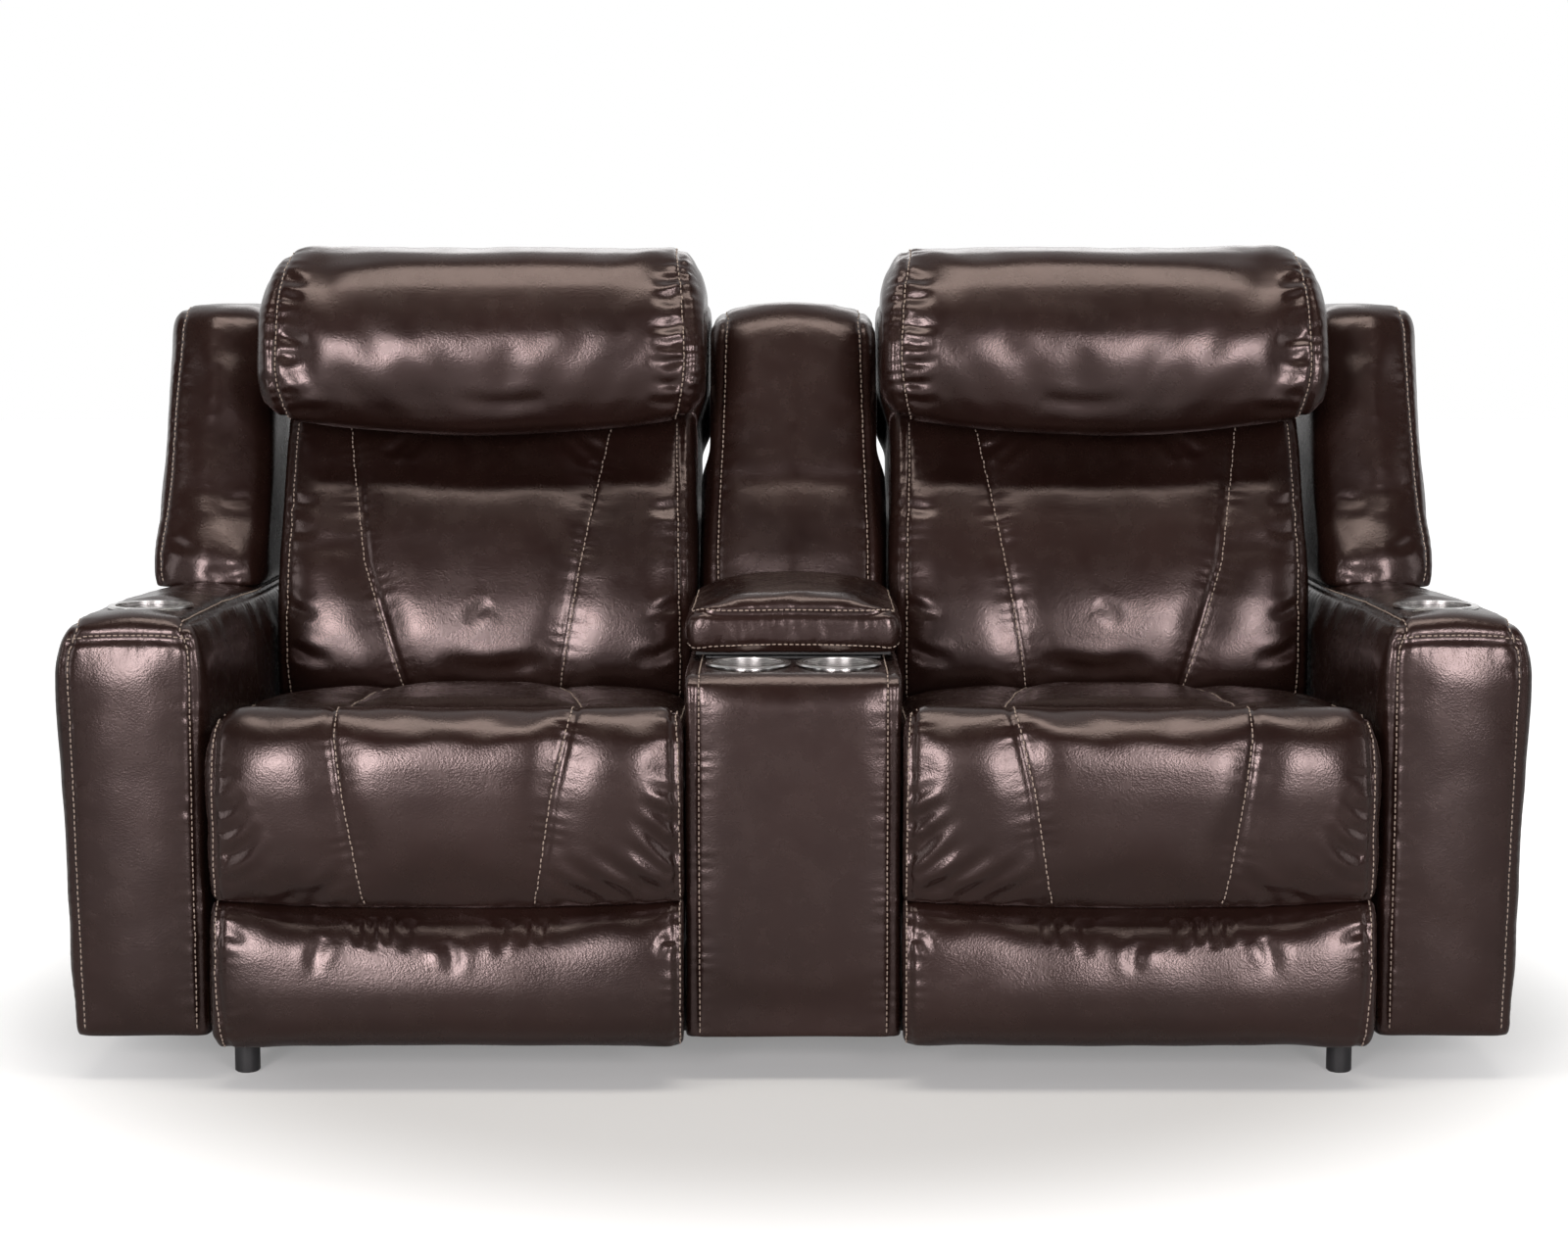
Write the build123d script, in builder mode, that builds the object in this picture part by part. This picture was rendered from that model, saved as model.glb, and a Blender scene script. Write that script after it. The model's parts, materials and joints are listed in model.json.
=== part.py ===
from build123d import *
import os
from math import radians, sqrt, tan

# Two-seat reclining sofa with a fixed storage console between the seats.
# Millimetres. X runs along the sofa, -Y is the front, +Z is up, Z = 0 is the floor.
# The pieces of one seat are modelled on the right (+X) and mirrored for the left.

# ---- Sizes along the sofa (X) ----
console_width = 266.0
console_gap = 4.0
seat_width = 585.0
arm_gap = 8.0
arm_width = 190.0

console_side = console_width / 2
seat_in = console_side + console_gap
seat_out = seat_in + seat_width
seat_mid = (seat_in + seat_out) / 2
arm_in = seat_out + arm_gap
arm_out = arm_in + arm_width

# ---- Sizes front to back (Y) ----
overall_depth = 960.0
arm_setback = 48.0
back_reach = 460.0
cushion_tuck = 5.0
rear_overhang = 135.0
seat_front = -overall_depth / 2
rear_top = overall_depth / 2
arm_front = seat_front + arm_setback
bolster_depth = 80.0
cushion_front = seat_front + bolster_depth
front_low = rear_top - back_reach
cushion_rear = front_low - cushion_tuck
rear_low = rear_top - rear_overhang

# ---- Heights (Z) ----
foot_height = 58.0
rail_height = 40.0
rail_top = foot_height + rail_height
cushion_base = 362.0
cushion_rear_rise = 82.0
cushion_rise = 110.0
bolster_rise = 128.0
cushion_rear_top = cushion_base + cushion_rear_rise
cushion_top = cushion_base + cushion_rise
bolster_top = cushion_base + bolster_rise
arm_top = 589.0
arm_fall = 12.0
arm_top_rear = arm_top - arm_fall
console_top = 520.0
headrest_height = 1055.0
headrest_rise = 150.0
horn_rise = 63.0
shell_cap = 17.0
wing_drop = 11.0
centre_back_drop = 10.0
headrest_axis_z = headrest_height - headrest_rise
horn_top = headrest_axis_z + horn_rise
back_top = horn_top + shell_cap
back_roll = 30.0
wing_top = back_top - wing_drop
centre_back_top = back_top - centre_back_drop

# ---- Clearances ----
soft_gap = 1.5
board_gap = 2.0
running_clearance = 0.05
loose_clearance = 0.3
plate_gap = 1.0
rocker_clearance = 1.0

# ---- The slanted planes of the back ----
back_lean = 18.4
knee_rise = 93.0
hinge_drop = 17.0
wing_setback = 35.0
front_low_height = cushion_base + knee_rise
rear_low_height = cushion_base - hinge_drop
rear_slope = (rear_top - rear_low) / (back_top - back_roll - rear_low_height)
wing_face = front_low + wing_setback


def front_y(height):
    """Front face of the back cushion at a height."""
    return front_low + (height - front_low_height) * tan(radians(back_lean))


def rear_y(height):
    """Rear face of the sofa at a height."""
    return rear_low + (height - rear_low_height) * rear_slope


def wing_y(height):
    """Front face of the wings and of the centre back at a height."""
    return wing_face + (height - arm_top_rear) * tan(radians(back_lean))


def write(name, solid):
    solid.label = name
    export_step(solid, f"parts/{name}.step")


def write_pair(name, piece):
    """The right-hand piece and its mirror image for the left-hand seat."""
    write(f"{name}_right", piece.part)
    write(f"{name}_left", mirror(piece.part, about=Plane.YZ))


def block(x0, x1, y0, y1, z0, z1, mode=Mode.ADD):
    """A straight board or cut-out between two corners."""
    with Locations(((x0 + x1) / 2, (y0 + y1) / 2, (z0 + z1) / 2)):
        return Box(x1 - x0, y1 - y0, z1 - z0, mode=mode)


def plate(x0, thickness, ends, mode=Mode.ADD):
    """A flat plate along X whose outline wraps round discs given as (y, z, radius)."""
    with BuildSketch(Plane.YZ.offset(x0)) as outline:
        for y, z, radius in ends:
            with Locations((y, z)):
                Circle(radius)
        make_hull()
    extrude(outline.sketch, amount=thickness, mode=mode)


def pin(x0, x1, centre, radius, mode=Mode.ADD):
    """A round pin, bore or shaft along X."""
    with BuildSketch(Plane.YZ.offset(x0)) as section:
        with Locations(centre):
            Circle(radius)
    extrude(section.sketch, amount=x1 - x0, mode=mode)


os.makedirs("parts", exist_ok=True)

# ======== Base ========
foot_radius = 16.0
foot_chamfer = 2.0
foot_inset = 34.0
foot_x = arm_in - foot_inset
rail_depth = 50.0
front_rail_setback = 5.0
front_rail_front = cushion_front + front_rail_setback
rear_rail_inset = 5.0
rear_rail_rear = rear_low - rear_rail_inset
front_foot_y = front_rail_front + rail_depth / 2
rear_foot_y = rear_rail_rear - rail_depth / 2

with BuildPart() as feet:
    with BuildSketch():
        with Locations(*((side * foot_x, y) for side in (-1, 1) for y in (front_foot_y, rear_foot_y))):
            Circle(foot_radius)
    extrude(amount=foot_height)
    chamfer(feet.edges().group_by(Axis.Z)[0], foot_chamfer)
write("feet", feet.part)

with BuildPart() as base_front_rail:
    block(-arm_in, arm_in, front_rail_front, front_rail_front + rail_depth, foot_height, rail_top)
write("base_front_rail", base_front_rail.part)

with BuildPart() as base_rear_rail:
    block(-arm_in, arm_in, rear_rail_rear - rail_depth, rear_rail_rear, foot_height, rail_top)
write("base_rear_rail", base_rear_rail.part)

# The side rails carry the mechanism plates, one pair under each seat.
plate_thickness = 4.0
plate_inset = 11.0
plate_x = seat_in + plate_inset
side_rail_width = 24.0
side_rail_x = plate_x + plate_thickness / 2 - side_rail_width / 2

with BuildPart() as base_side_rails:
    block(
        side_rail_x, side_rail_x + side_rail_width,
        front_rail_front + rail_depth, rear_rail_rear - rail_depth, foot_height, rail_top,
    )
    mirror(about=Plane.YZ.offset(seat_mid))
    mirror(about=Plane.YZ)
write("base_side_rails", base_side_rails.part)

skirt_thickness = 12.0
skirt_top = 245.0
inlet_width = 34.0
inlet_height = 26.0
inlet_z = 150.0
with BuildPart() as rear_skirt_board:
    block(-arm_in, arm_in, rear_rail_rear, rear_rail_rear + skirt_thickness, foot_height, skirt_top)
    block(
        -inlet_width / 2, inlet_width / 2, rear_rail_rear, rear_rail_rear + skirt_thickness,
        inlet_z - inlet_height / 2, inlet_z + inlet_height / 2, mode=Mode.SUBTRACT,
    )
write("rear_skirt_board", rear_skirt_board.part)

inlet_flange = 5.0
inlet_flange_thickness = 2.0
inlet_socket_radius = 7.0
inlet_socket_depth = 10.0
inlet_face = rear_rail_rear + skirt_thickness
with BuildPart() as power_inlet:
    block(
        -inlet_width / 2 - inlet_flange, inlet_width / 2 + inlet_flange,
        inlet_face, inlet_face + inlet_flange_thickness,
        inlet_z - inlet_height / 2 - inlet_flange, inlet_z + inlet_height / 2 + inlet_flange,
    )
    block(
        -inlet_width / 2, inlet_width / 2, rear_rail_rear, inlet_face,
        inlet_z - inlet_height / 2, inlet_z + inlet_height / 2,
    )
    with BuildSketch(Plane.XZ.offset(-inlet_face - inlet_flange_thickness)):
        with Locations((0, inlet_z)):
            Circle(inlet_socket_radius)
    extrude(amount=inlet_socket_depth, mode=Mode.SUBTRACT)
write("power_inlet", power_inlet.part)

# ======== Recliner mechanism ========
# The leg rest hangs from the hinge at the front of the seat. Cranks on a shaft under the seat turn
# with it, and push bars of the same centre distance keep the two parallel.
knuckle_radius = 32.0
leg_hinge_y = seat_front + knuckle_radius
leg_hinge_z = cushion_base - hinge_drop
crank_offset_y = 60.0
crank_offset_z = -115.0
shaft_setback = 186.0
shaft_drop = 62.0
back_hinge_setback = 100.0
back_hinge_drop = 12.0
shaft_y = leg_hinge_y + shaft_setback
shaft_z = cushion_base - shaft_drop
back_hinge_y = front_low + back_hinge_setback
back_hinge_z = cushion_base - back_hinge_drop

hinge_lug_radius = 20.0
hinge_pin_radius = 8.0
shaft_radius = 10.0
link_pin_radius = 5.0
link_boss_radius = 12.0
link_thickness = 4.0

leg_hinge = (leg_hinge_y, leg_hinge_z)
back_hinge = (back_hinge_y, back_hinge_z)
shaft_axis = (shaft_y, shaft_z)
crank_end = (shaft_y + crank_offset_y, shaft_z + crank_offset_z)
bracket_end = (leg_hinge_y + crank_offset_y, leg_hinge_z + crank_offset_z)

# Layers along X, counted from the mechanism plate towards the middle of the seat.
bracket_x = plate_x + plate_thickness + plate_gap
bar_x = bracket_x + link_thickness + plate_gap
crank_x = bar_x + link_thickness + plate_gap
board_x = bracket_x + link_thickness

plate_rear = back_hinge_y + hinge_lug_radius
plate_front = front_rail_front + rail_depth
plate_foot = 12.0
with BuildPart() as mechanism_plates:
    with BuildSketch(Plane.YZ.offset(plate_x)):
        with BuildLine():
            Polyline(
                (plate_front, rail_top),
                (plate_front, shaft_z - 90),
                (cushion_front - board_gap, leg_hinge_z - 32),
                (leg_hinge_y, leg_hinge_z - hinge_lug_radius),
                (leg_hinge_y, leg_hinge_z + hinge_lug_radius - 4),
                (cushion_front, cushion_base),
                (back_hinge_y, cushion_base),
                (plate_rear, back_hinge_z),
                (plate_rear, rail_top),
                close=True,
            )
        make_face()
        with Locations(leg_hinge, back_hinge):
            Circle(hinge_lug_radius)
        with Locations(shaft_axis):
            Circle(shaft_radius + running_clearance, mode=Mode.SUBTRACT)
    extrude(amount=plate_thickness)
    for hinge in (leg_hinge, back_hinge):
        pin(plate_x + plate_thickness, bracket_x + link_thickness + plate_gap / 2, hinge, hinge_pin_radius)
    block(
        plate_x, plate_x + plate_foot, plate_front, plate_rear, rail_top, rail_top + plate_thickness,
    )
    mirror(about=Plane.YZ.offset(seat_mid))
    mirror(about=Plane.YZ)
write("mechanism_plates", mechanism_plates.part)

crank_hub_radius = 18.0
with BuildPart() as drive_shaft:
    pin(plate_x - plate_gap, seat_in + seat_out - plate_x + plate_gap, shaft_axis, shaft_radius)
    plate(crank_x, link_thickness, [(*shaft_axis, crank_hub_radius), (*crank_end, link_boss_radius)])
    pin(bar_x - plate_gap / 2, crank_x, crank_end, link_pin_radius)
    plate(
        seat_in + seat_out - crank_x - link_thickness, link_thickness,
        [(*shaft_axis, crank_hub_radius), (*crank_end, link_boss_radius)],
    )
    pin(
        seat_in + seat_out - crank_x, seat_in + seat_out - bar_x + plate_gap / 2,
        crank_end, link_pin_radius,
    )
write_pair("drive_shaft", drive_shaft)

with BuildPart() as push_bars:
    plate(bar_x, link_thickness, [(*crank_end, link_boss_radius), (*bracket_end, link_boss_radius)])
    pin(bar_x, bar_x + link_thickness, crank_end, link_pin_radius + running_clearance, Mode.SUBTRACT)
    pin(bar_x, bar_x + link_thickness, bracket_end, link_pin_radius + loose_clearance, Mode.SUBTRACT)
    mirror(about=Plane.YZ.offset(seat_mid))
write_pair("push_bars", push_bars)

# One gear motor per seat hangs from the cross bar of the seat frame and turns the shaft.
cross_bar_depth = 34.0
cross_bar_height = 18.0
frame_board_height = 30.0
cross_bar_base = cushion_base - frame_board_height
cross_bar_top = cross_bar_base + cross_bar_height
gearbox_width = 56.0
gearbox_depth = 64.0
gearbox_height = 62.0
motor_radius = 22.0
motor_length = 120.0
motor_chamfer = 10.0
with BuildPart() as recline_motors:
    block(
        seat_mid - gearbox_width / 2, seat_mid + gearbox_width / 2,
        shaft_y - gearbox_depth / 2, shaft_y + gearbox_depth / 2,
        cross_bar_base - gearbox_height, cross_bar_base,
    )
    chamfer(recline_motors.edges().filter_by(Axis.X).group_by(Axis.Z)[0], motor_chamfer)
    with BuildSketch(Plane.XZ.offset(-shaft_y - gearbox_depth / 2)):
        with Locations((seat_mid, cross_bar_base - gearbox_height / 2)):
            Circle(motor_radius)
    extrude(amount=-motor_length)
    chamfer(recline_motors.edges().group_by(Axis.Y)[-1], motor_chamfer / 2)
    pin(
        seat_mid - gearbox_width / 2, seat_mid + gearbox_width / 2,
        shaft_axis, shaft_radius + loose_clearance, Mode.SUBTRACT,
    )
    mirror(about=Plane.YZ)
write("recline_motors", recline_motors.part)

# ======== Seat ========
side_board_width = 24.0
side_board_x = plate_x + plate_thickness
front_board_height = 62.0
side_board_base = cushion_base - frame_board_height
front_board_base = cushion_base - front_board_height
board_thickness = 24.0
seat_board_overhang = 40.0
seat_board_rear = cushion_rear + seat_board_overhang
with BuildPart() as seat_frame:
    block(
        side_board_x, side_board_x + side_board_width, cushion_front, seat_board_rear,
        side_board_base, cushion_base,
    )
    mirror(about=Plane.YZ.offset(seat_mid))
    inner_x = side_board_x + side_board_width
    outer_x = seat_in + seat_out - inner_x
    block(inner_x, outer_x, cushion_front, cushion_front + board_thickness, front_board_base, cushion_base)
    block(inner_x, outer_x, seat_board_rear - board_thickness, seat_board_rear, side_board_base, cushion_base)
    block(
        inner_x, outer_x, shaft_y - cross_bar_depth / 2, shaft_y + cross_bar_depth / 2,
        cross_bar_base, cross_bar_top,
    )
write_pair("seat_frame", seat_frame)

spring_count = 5
spring_wire = 3.6
spring_swing = 26.0
spring_bends = 14
spring_spacing = 92.0
spring_front = cushion_front + board_thickness + spring_wire / 2
spring_rear = seat_board_rear - board_thickness - spring_wire / 2
spring_step = (spring_rear - spring_front) / spring_bends
with BuildPart() as seat_springs:
    with BuildSketch(Plane.XY.offset(cushion_base - spring_wire)):
        for n in range(spring_count):
            x = seat_mid + (n - (spring_count - 1) / 2) * spring_spacing
            zigzag = [(x, spring_front), (x + spring_swing / 2, spring_front + spring_step / 2)]
            zigzag += [
                (x + spring_swing / 2 * (-1) ** k, spring_front + spring_step * (k + 0.5))
                for k in range(1, spring_bends)
            ]
            zigzag += [(x, spring_rear)]
            with BuildLine():
                Polyline(*zigzag)
        trace(line_width=spring_wire)
    extrude(amount=spring_wire)
    mirror(about=Plane.YZ)
write("seat_springs", seat_springs.part)

# The cushion and the bolster meet at a cross seam a little below their crowns. The bolster ends
# above the leg rest, which turns under it.
seat_seam_height = bolster_top - 24
cushion_crown_offset = 200.0
bolster_nose = 10.0
bolster_face_top = bolster_top - 50
fold_top = leg_hinge_z + knuckle_radius + soft_gap
with BuildPart() as seat_cushion:
    with BuildSketch(Plane.YZ.offset(seat_in)):
        with BuildLine():
            rear_edge = Line((cushion_rear, cushion_base), (cushion_rear, cushion_rear_top))
            crown = ThreePointArc(
                rear_edge @ 1, (cushion_front + cushion_crown_offset, cushion_top),
                (cushion_front, seat_seam_height),
            )
            Polyline(crown @ 1, (cushion_front, cushion_base), rear_edge @ 0)
        make_face()
    extrude(amount=seat_width)
write_pair("seat_cushion", seat_cushion)

with BuildPart() as seat_bolster:
    with BuildSketch(Plane.YZ.offset(seat_in)):
        with BuildLine():
            rear_edge = Line((cushion_front, leg_hinge_z), (cushion_front, seat_seam_height))
            crown = ThreePointArc(
                rear_edge @ 1, (cushion_front - bolster_depth / 2, bolster_top),
                (seat_front + bolster_nose, seat_seam_height),
            )
            Polyline(
                crown @ 1, (seat_front, bolster_face_top), (seat_front, fold_top),
                (leg_hinge_y, fold_top), (leg_hinge_y, leg_hinge_z), rear_edge @ 0,
            )
        make_face()
        with Locations(leg_hinge):
            Circle(knuckle_radius + soft_gap, mode=Mode.SUBTRACT)
    extrude(amount=seat_width)
    for x in (seat_in, seat_out - (board_x + soft_gap - seat_in)):
        block(
            x, x + board_x + soft_gap - seat_in, seat_front, cushion_front,
            leg_hinge_z, leg_hinge_z + hinge_lug_radius + soft_gap, mode=Mode.SUBTRACT,
        )
write_pair("seat_bolster", seat_bolster)

# ======== Leg rest ========
legrest_board_thickness = 12.0
legrest_board_base = foot_height + board_gap
board_rear = cushion_front - board_gap
pad_back = board_rear - legrest_board_thickness
crease_height = 230.0
footrest_hem = 4.0
footrest_base = foot_height - footrest_hem
bracket_elbow = (board_rear, leg_hinge_z - 55)
with BuildPart() as legrest_board:
    block(
        board_x, seat_in + seat_out - board_x, pad_back, board_rear,
        legrest_board_base, leg_hinge_z - 10,
    )
write_pair("legrest_board", legrest_board)

with BuildPart() as legrest_brackets:
    plate(bracket_x, link_thickness, [(*leg_hinge, hinge_lug_radius), (*bracket_elbow, link_boss_radius)])
    plate(
        bracket_x, link_thickness,
        [
            (*bracket_elbow, link_boss_radius), (*bracket_end, link_boss_radius + 2),
            (pad_back + link_pin_radius * 2, legrest_board_base + 60, link_pin_radius * 2),
        ],
    )
    pin(bracket_x, bracket_x + link_thickness, leg_hinge, hinge_pin_radius + running_clearance, Mode.SUBTRACT)
    pin(bracket_x + link_thickness, bar_x + link_thickness + plate_gap / 2, bracket_end, link_pin_radius)
    mirror(about=Plane.YZ.offset(seat_mid))
write_pair("legrest_brackets", legrest_brackets)

notch_base = bracket_elbow[1] - link_boss_radius
with BuildPart() as chaise_pad:
    with BuildSketch(Plane.YZ.offset(seat_in)):
        with BuildLine():
            Polyline(
                (pad_back, crease_height + soft_gap),
                (pad_back, leg_hinge_z - 10),
                (pad_back - 4, leg_hinge_z),
                (seat_front, leg_hinge_z),
                (seat_front, crease_height + 14),
                (seat_front + 10, crease_height + soft_gap),
                close=True,
            )
        make_face()
        with Locations(leg_hinge):
            Circle(knuckle_radius)
    extrude(amount=seat_width)
    for x in (seat_in, seat_out - (board_x + soft_gap - seat_in)):
        block(
            x, x + board_x + soft_gap - seat_in, seat_front, pad_back,
            notch_base - soft_gap, leg_hinge_z + knuckle_radius, mode=Mode.SUBTRACT,
        )
write_pair("chaise_pad", chaise_pad)

with BuildPart() as footrest_pad:
    with BuildSketch(Plane.YZ.offset(seat_in)) as footrest_side:
        with BuildLine():
            Polyline(
                (pad_back, footrest_base), (pad_back, crease_height),
                (seat_front, crease_height), (seat_front, footrest_base), close=True,
            )
        make_face()
        fillet(footrest_side.vertices().group_by(Axis.X)[0], 18)
    extrude(amount=seat_width)
write_pair("footrest_pad", footrest_pad)

# ======== Reclining back ========
cushion_thickness = 150.0
cushion_lift = 33.0
frame_depth = 27.0
frame_tube = 25.0
frame_lift = 38.0
shell_lift = 17.0
shell_wall = 12.0
shell_side_rise = 50.0
headrest_setback = 75.0
cushion_low = cushion_base + cushion_lift
frame_low = cushion_base + frame_lift
frame_high = headrest_axis_z + frame_tube
shell_low = skirt_top + shell_lift
shell_side_low = frame_low + shell_side_rise
headrest_axis_y = front_low + headrest_setback
headrest_axis = (headrest_axis_y, headrest_axis_z)
headrest_radius = 100.0
headrest_arm_spread = 130.0
headrest_arm_thickness = 6.0
frame_inner = board_x + frame_tube
frame_outer = seat_in + seat_out - frame_inner
arm_slot = headrest_arm_thickness / 2 + 2


def frame_y(height):
    """Rear face of the back cushion, where the frame starts."""
    return front_y(height) + cushion_thickness


def leaning_bar(x0, x1, low, high, depth):
    """A bar of the back frame between two heights, leaning with the cushion."""
    with BuildSketch(Plane.YZ.offset(x0)) as side:
        with BuildLine():
            Polyline(
                (frame_y(low), low), (frame_y(high), high),
                (frame_y(high) + depth, high), (frame_y(low) + depth, low), close=True,
            )
        make_face()
    extrude(side.sketch, amount=x1 - x0)


with BuildPart() as back_frame:
    leaning_bar(board_x, frame_inner, frame_low, frame_high, frame_depth)
    bracket_knee = (frame_y(frame_low + 20) + frame_depth / 2, frame_low + 20, link_boss_radius)
    bracket_tip = (frame_y(frame_low + 160) + frame_depth / 2, frame_low + 160, link_boss_radius)
    plate(bracket_x, link_thickness, [(*back_hinge, hinge_lug_radius), bracket_knee])
    plate(bracket_x, link_thickness, [bracket_knee, bracket_tip])
    pin(bracket_x, bracket_x + link_thickness, back_hinge, hinge_pin_radius + running_clearance, Mode.SUBTRACT)
    mirror(about=Plane.YZ.offset(seat_mid))
    for low in (frame_low + 60, (frame_low + headrest_axis_z) / 2, headrest_axis_z - frame_tube / 2):
        leaning_bar(frame_inner, frame_outer, low, low + frame_tube, frame_depth)
    for side in (-1, 1):
        arm_x = seat_mid + side * headrest_arm_spread - headrest_arm_thickness / 2
        plate(
            arm_x, headrest_arm_thickness,
            [
                (*headrest_axis, hinge_pin_radius + 6),
                (frame_y(headrest_axis_z) + frame_depth / 2, headrest_axis_z, frame_tube / 2 - 1),
            ],
        )
        pin(
            arm_x, arm_x + headrest_arm_thickness, headrest_axis,
            hinge_pin_radius + running_clearance, Mode.SUBTRACT,
        )
write_pair("back_frame", back_frame)

with BuildPart() as back_cushion:
    with BuildSketch(Plane.YZ.offset(seat_in)):
        with BuildLine():
            Polyline(
                (front_low, cushion_low),
                (front_low, front_low_height),
                (front_y(headrest_axis_z - 25), headrest_axis_z - 25),
                (headrest_axis_y + headrest_radius + 2 * soft_gap, headrest_axis_z),
                (headrest_axis_y + headrest_radius + 17, headrest_axis_z + 40),
                (headrest_axis_y + headrest_radius + 40, horn_top - 5),
                (frame_y(horn_top), horn_top),
                (frame_y(shell_side_low), shell_side_low),
                (back_hinge_y - 10, cushion_low),
                close=True,
            )
        make_face()
        with Locations(headrest_axis):
            Circle(headrest_radius + soft_gap, mode=Mode.SUBTRACT)
    extrude(amount=seat_width)
    for side in (-1, 1):
        arm_x = seat_mid + side * headrest_arm_spread
        block(
            arm_x - arm_slot, arm_x + arm_slot, headrest_axis_y + headrest_radius - 20,
            frame_y(headrest_axis_z) + frame_depth,
            headrest_axis_z - frame_tube / 2 - 4, headrest_axis_z + frame_tube / 2 + 4, mode=Mode.SUBTRACT,
        )
write_pair("back_cushion", back_cushion)

with BuildPart() as back_shell:
    with BuildSketch(Plane.YZ.offset(seat_in)):
        with BuildLine():
            Polyline(
                (frame_y(shell_side_low), shell_side_low),
                (frame_y(horn_top), horn_top),
                (rear_top - back_roll, back_top),
            )
            roll = ThreePointArc(
                (rear_top - back_roll, back_top),
                (rear_top - back_roll * (1 - sqrt(0.5)), back_top - back_roll * (1 - sqrt(0.5))),
                (rear_top, back_top - back_roll),
            )
            Polyline(
                roll @ 1, (rear_y(shell_low), shell_low), (frame_y(shell_side_low), shell_side_low)
            )
        make_face()
    extrude(amount=seat_width)
    with BuildSketch(Plane.YZ.offset(seat_in + shell_wall)):
        with BuildLine():
            Polyline(
                (frame_y(shell_low) - 60, shell_low - 60),
                (frame_y(horn_top) - 60, horn_top - shell_wall),
                (frame_y(horn_top), horn_top - shell_wall),
                (rear_top - back_roll, back_top - shell_wall),
                (rear_top - shell_wall, back_top - back_roll),
                (rear_y(shell_low - 60) - shell_wall, shell_low - 60),
                close=True,
            )
        make_face()
    extrude(amount=seat_width - 2 * shell_wall, mode=Mode.SUBTRACT)
write_pair("back_shell", back_shell)

# ======== Headrest ========
headrest_overhang_in = 17.0
headrest_overhang_out = 16.0
headrest_in = seat_in - headrest_overhang_in
headrest_out = seat_out + headrest_overhang_out
rod_overhang = 40.0
blade_height = 95.0
blade_thickness = 3.0
blade_setback = 15.0
rod_in = seat_mid - headrest_arm_spread - rod_overhang
rod_out = seat_mid + headrest_arm_spread + rod_overhang
with BuildPart() as headrest_bracket:
    pin(rod_in, rod_out, headrest_axis, hinge_pin_radius)
    block(
        seat_mid - headrest_arm_spread + blade_setback, seat_mid + headrest_arm_spread - blade_setback,
        headrest_axis_y - blade_thickness / 2, headrest_axis_y + blade_thickness / 2,
        headrest_axis_z, headrest_axis_z + blade_height,
    )
write_pair("headrest_bracket", headrest_bracket)

with BuildPart() as headrest_pillow:
    with BuildSketch(Plane.YZ.offset(headrest_in)) as pillow_side:
        with BuildLine():
            Polyline(
                (headrest_axis_y - headrest_radius, headrest_axis_z),
                (headrest_axis_y - headrest_radius, headrest_height),
                (headrest_axis_y + 45, headrest_height),
                (headrest_axis_y + headrest_radius, headrest_axis_z + 60),
                (headrest_axis_y + headrest_radius, headrest_axis_z),
                close=True,
            )
        make_face()
        fillet(pillow_side.vertices().group_by(Axis.Y)[-1], 52)
        with Locations(headrest_axis):
            Circle(headrest_radius)
    extrude(amount=headrest_out - headrest_in)
    for side in (-1, 1):
        arm_x = seat_mid + side * headrest_arm_spread
        block(
            arm_x - arm_slot, arm_x + arm_slot,
            headrest_axis_y - hinge_pin_radius - 8, headrest_axis_y + headrest_radius,
            headrest_axis_z - 0.78 * headrest_radius, headrest_axis_z + hinge_pin_radius + 8,
            mode=Mode.SUBTRACT,
        )
    pin(
        rod_in - loose_clearance, rod_out + loose_clearance, headrest_axis,
        hinge_pin_radius + loose_clearance, Mode.SUBTRACT,
    )
    block(
        seat_mid - headrest_arm_spread + blade_setback - loose_clearance,
        seat_mid + headrest_arm_spread - blade_setback + loose_clearance,
        headrest_axis_y - blade_thickness / 2 - loose_clearance,
        headrest_axis_y + blade_thickness / 2 + loose_clearance,
        headrest_axis_z, headrest_axis_z + blade_height + loose_clearance, mode=Mode.SUBTRACT,
    )
write_pair("headrest_pillow", headrest_pillow)

# ======== Arms and wings ========
cup_radius = 44.5
cup_wall = 1.5
cup_depth = 78.0
cup_flange_radius = 54.0
cup_flange_thickness = 2.5
cup_hole_radius = cup_radius + cup_wall + plate_gap


def cup_holder(x, y, rim):
    """A pressed steel cup with a rolled flange that sits on the upholstery."""
    with BuildPart() as cup:
        with BuildSketch(Plane.XZ.offset(-y)):
            with BuildLine():
                Polyline(
                    (x, rim - cup_depth), (x + cup_radius + cup_wall, rim - cup_depth),
                    (x + cup_radius + cup_wall, rim), (x + cup_flange_radius, rim),
                    (x + cup_flange_radius - 1, rim + cup_flange_thickness),
                    (x + cup_radius, rim + cup_flange_thickness),
                    (x + cup_radius, rim - cup_depth + cup_wall), (x, rim - cup_depth + cup_wall),
                    close=True,
                )
            make_face()
        revolve(axis=Axis((x, y, 0), (0, 0, 1)))
    return cup


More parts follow.
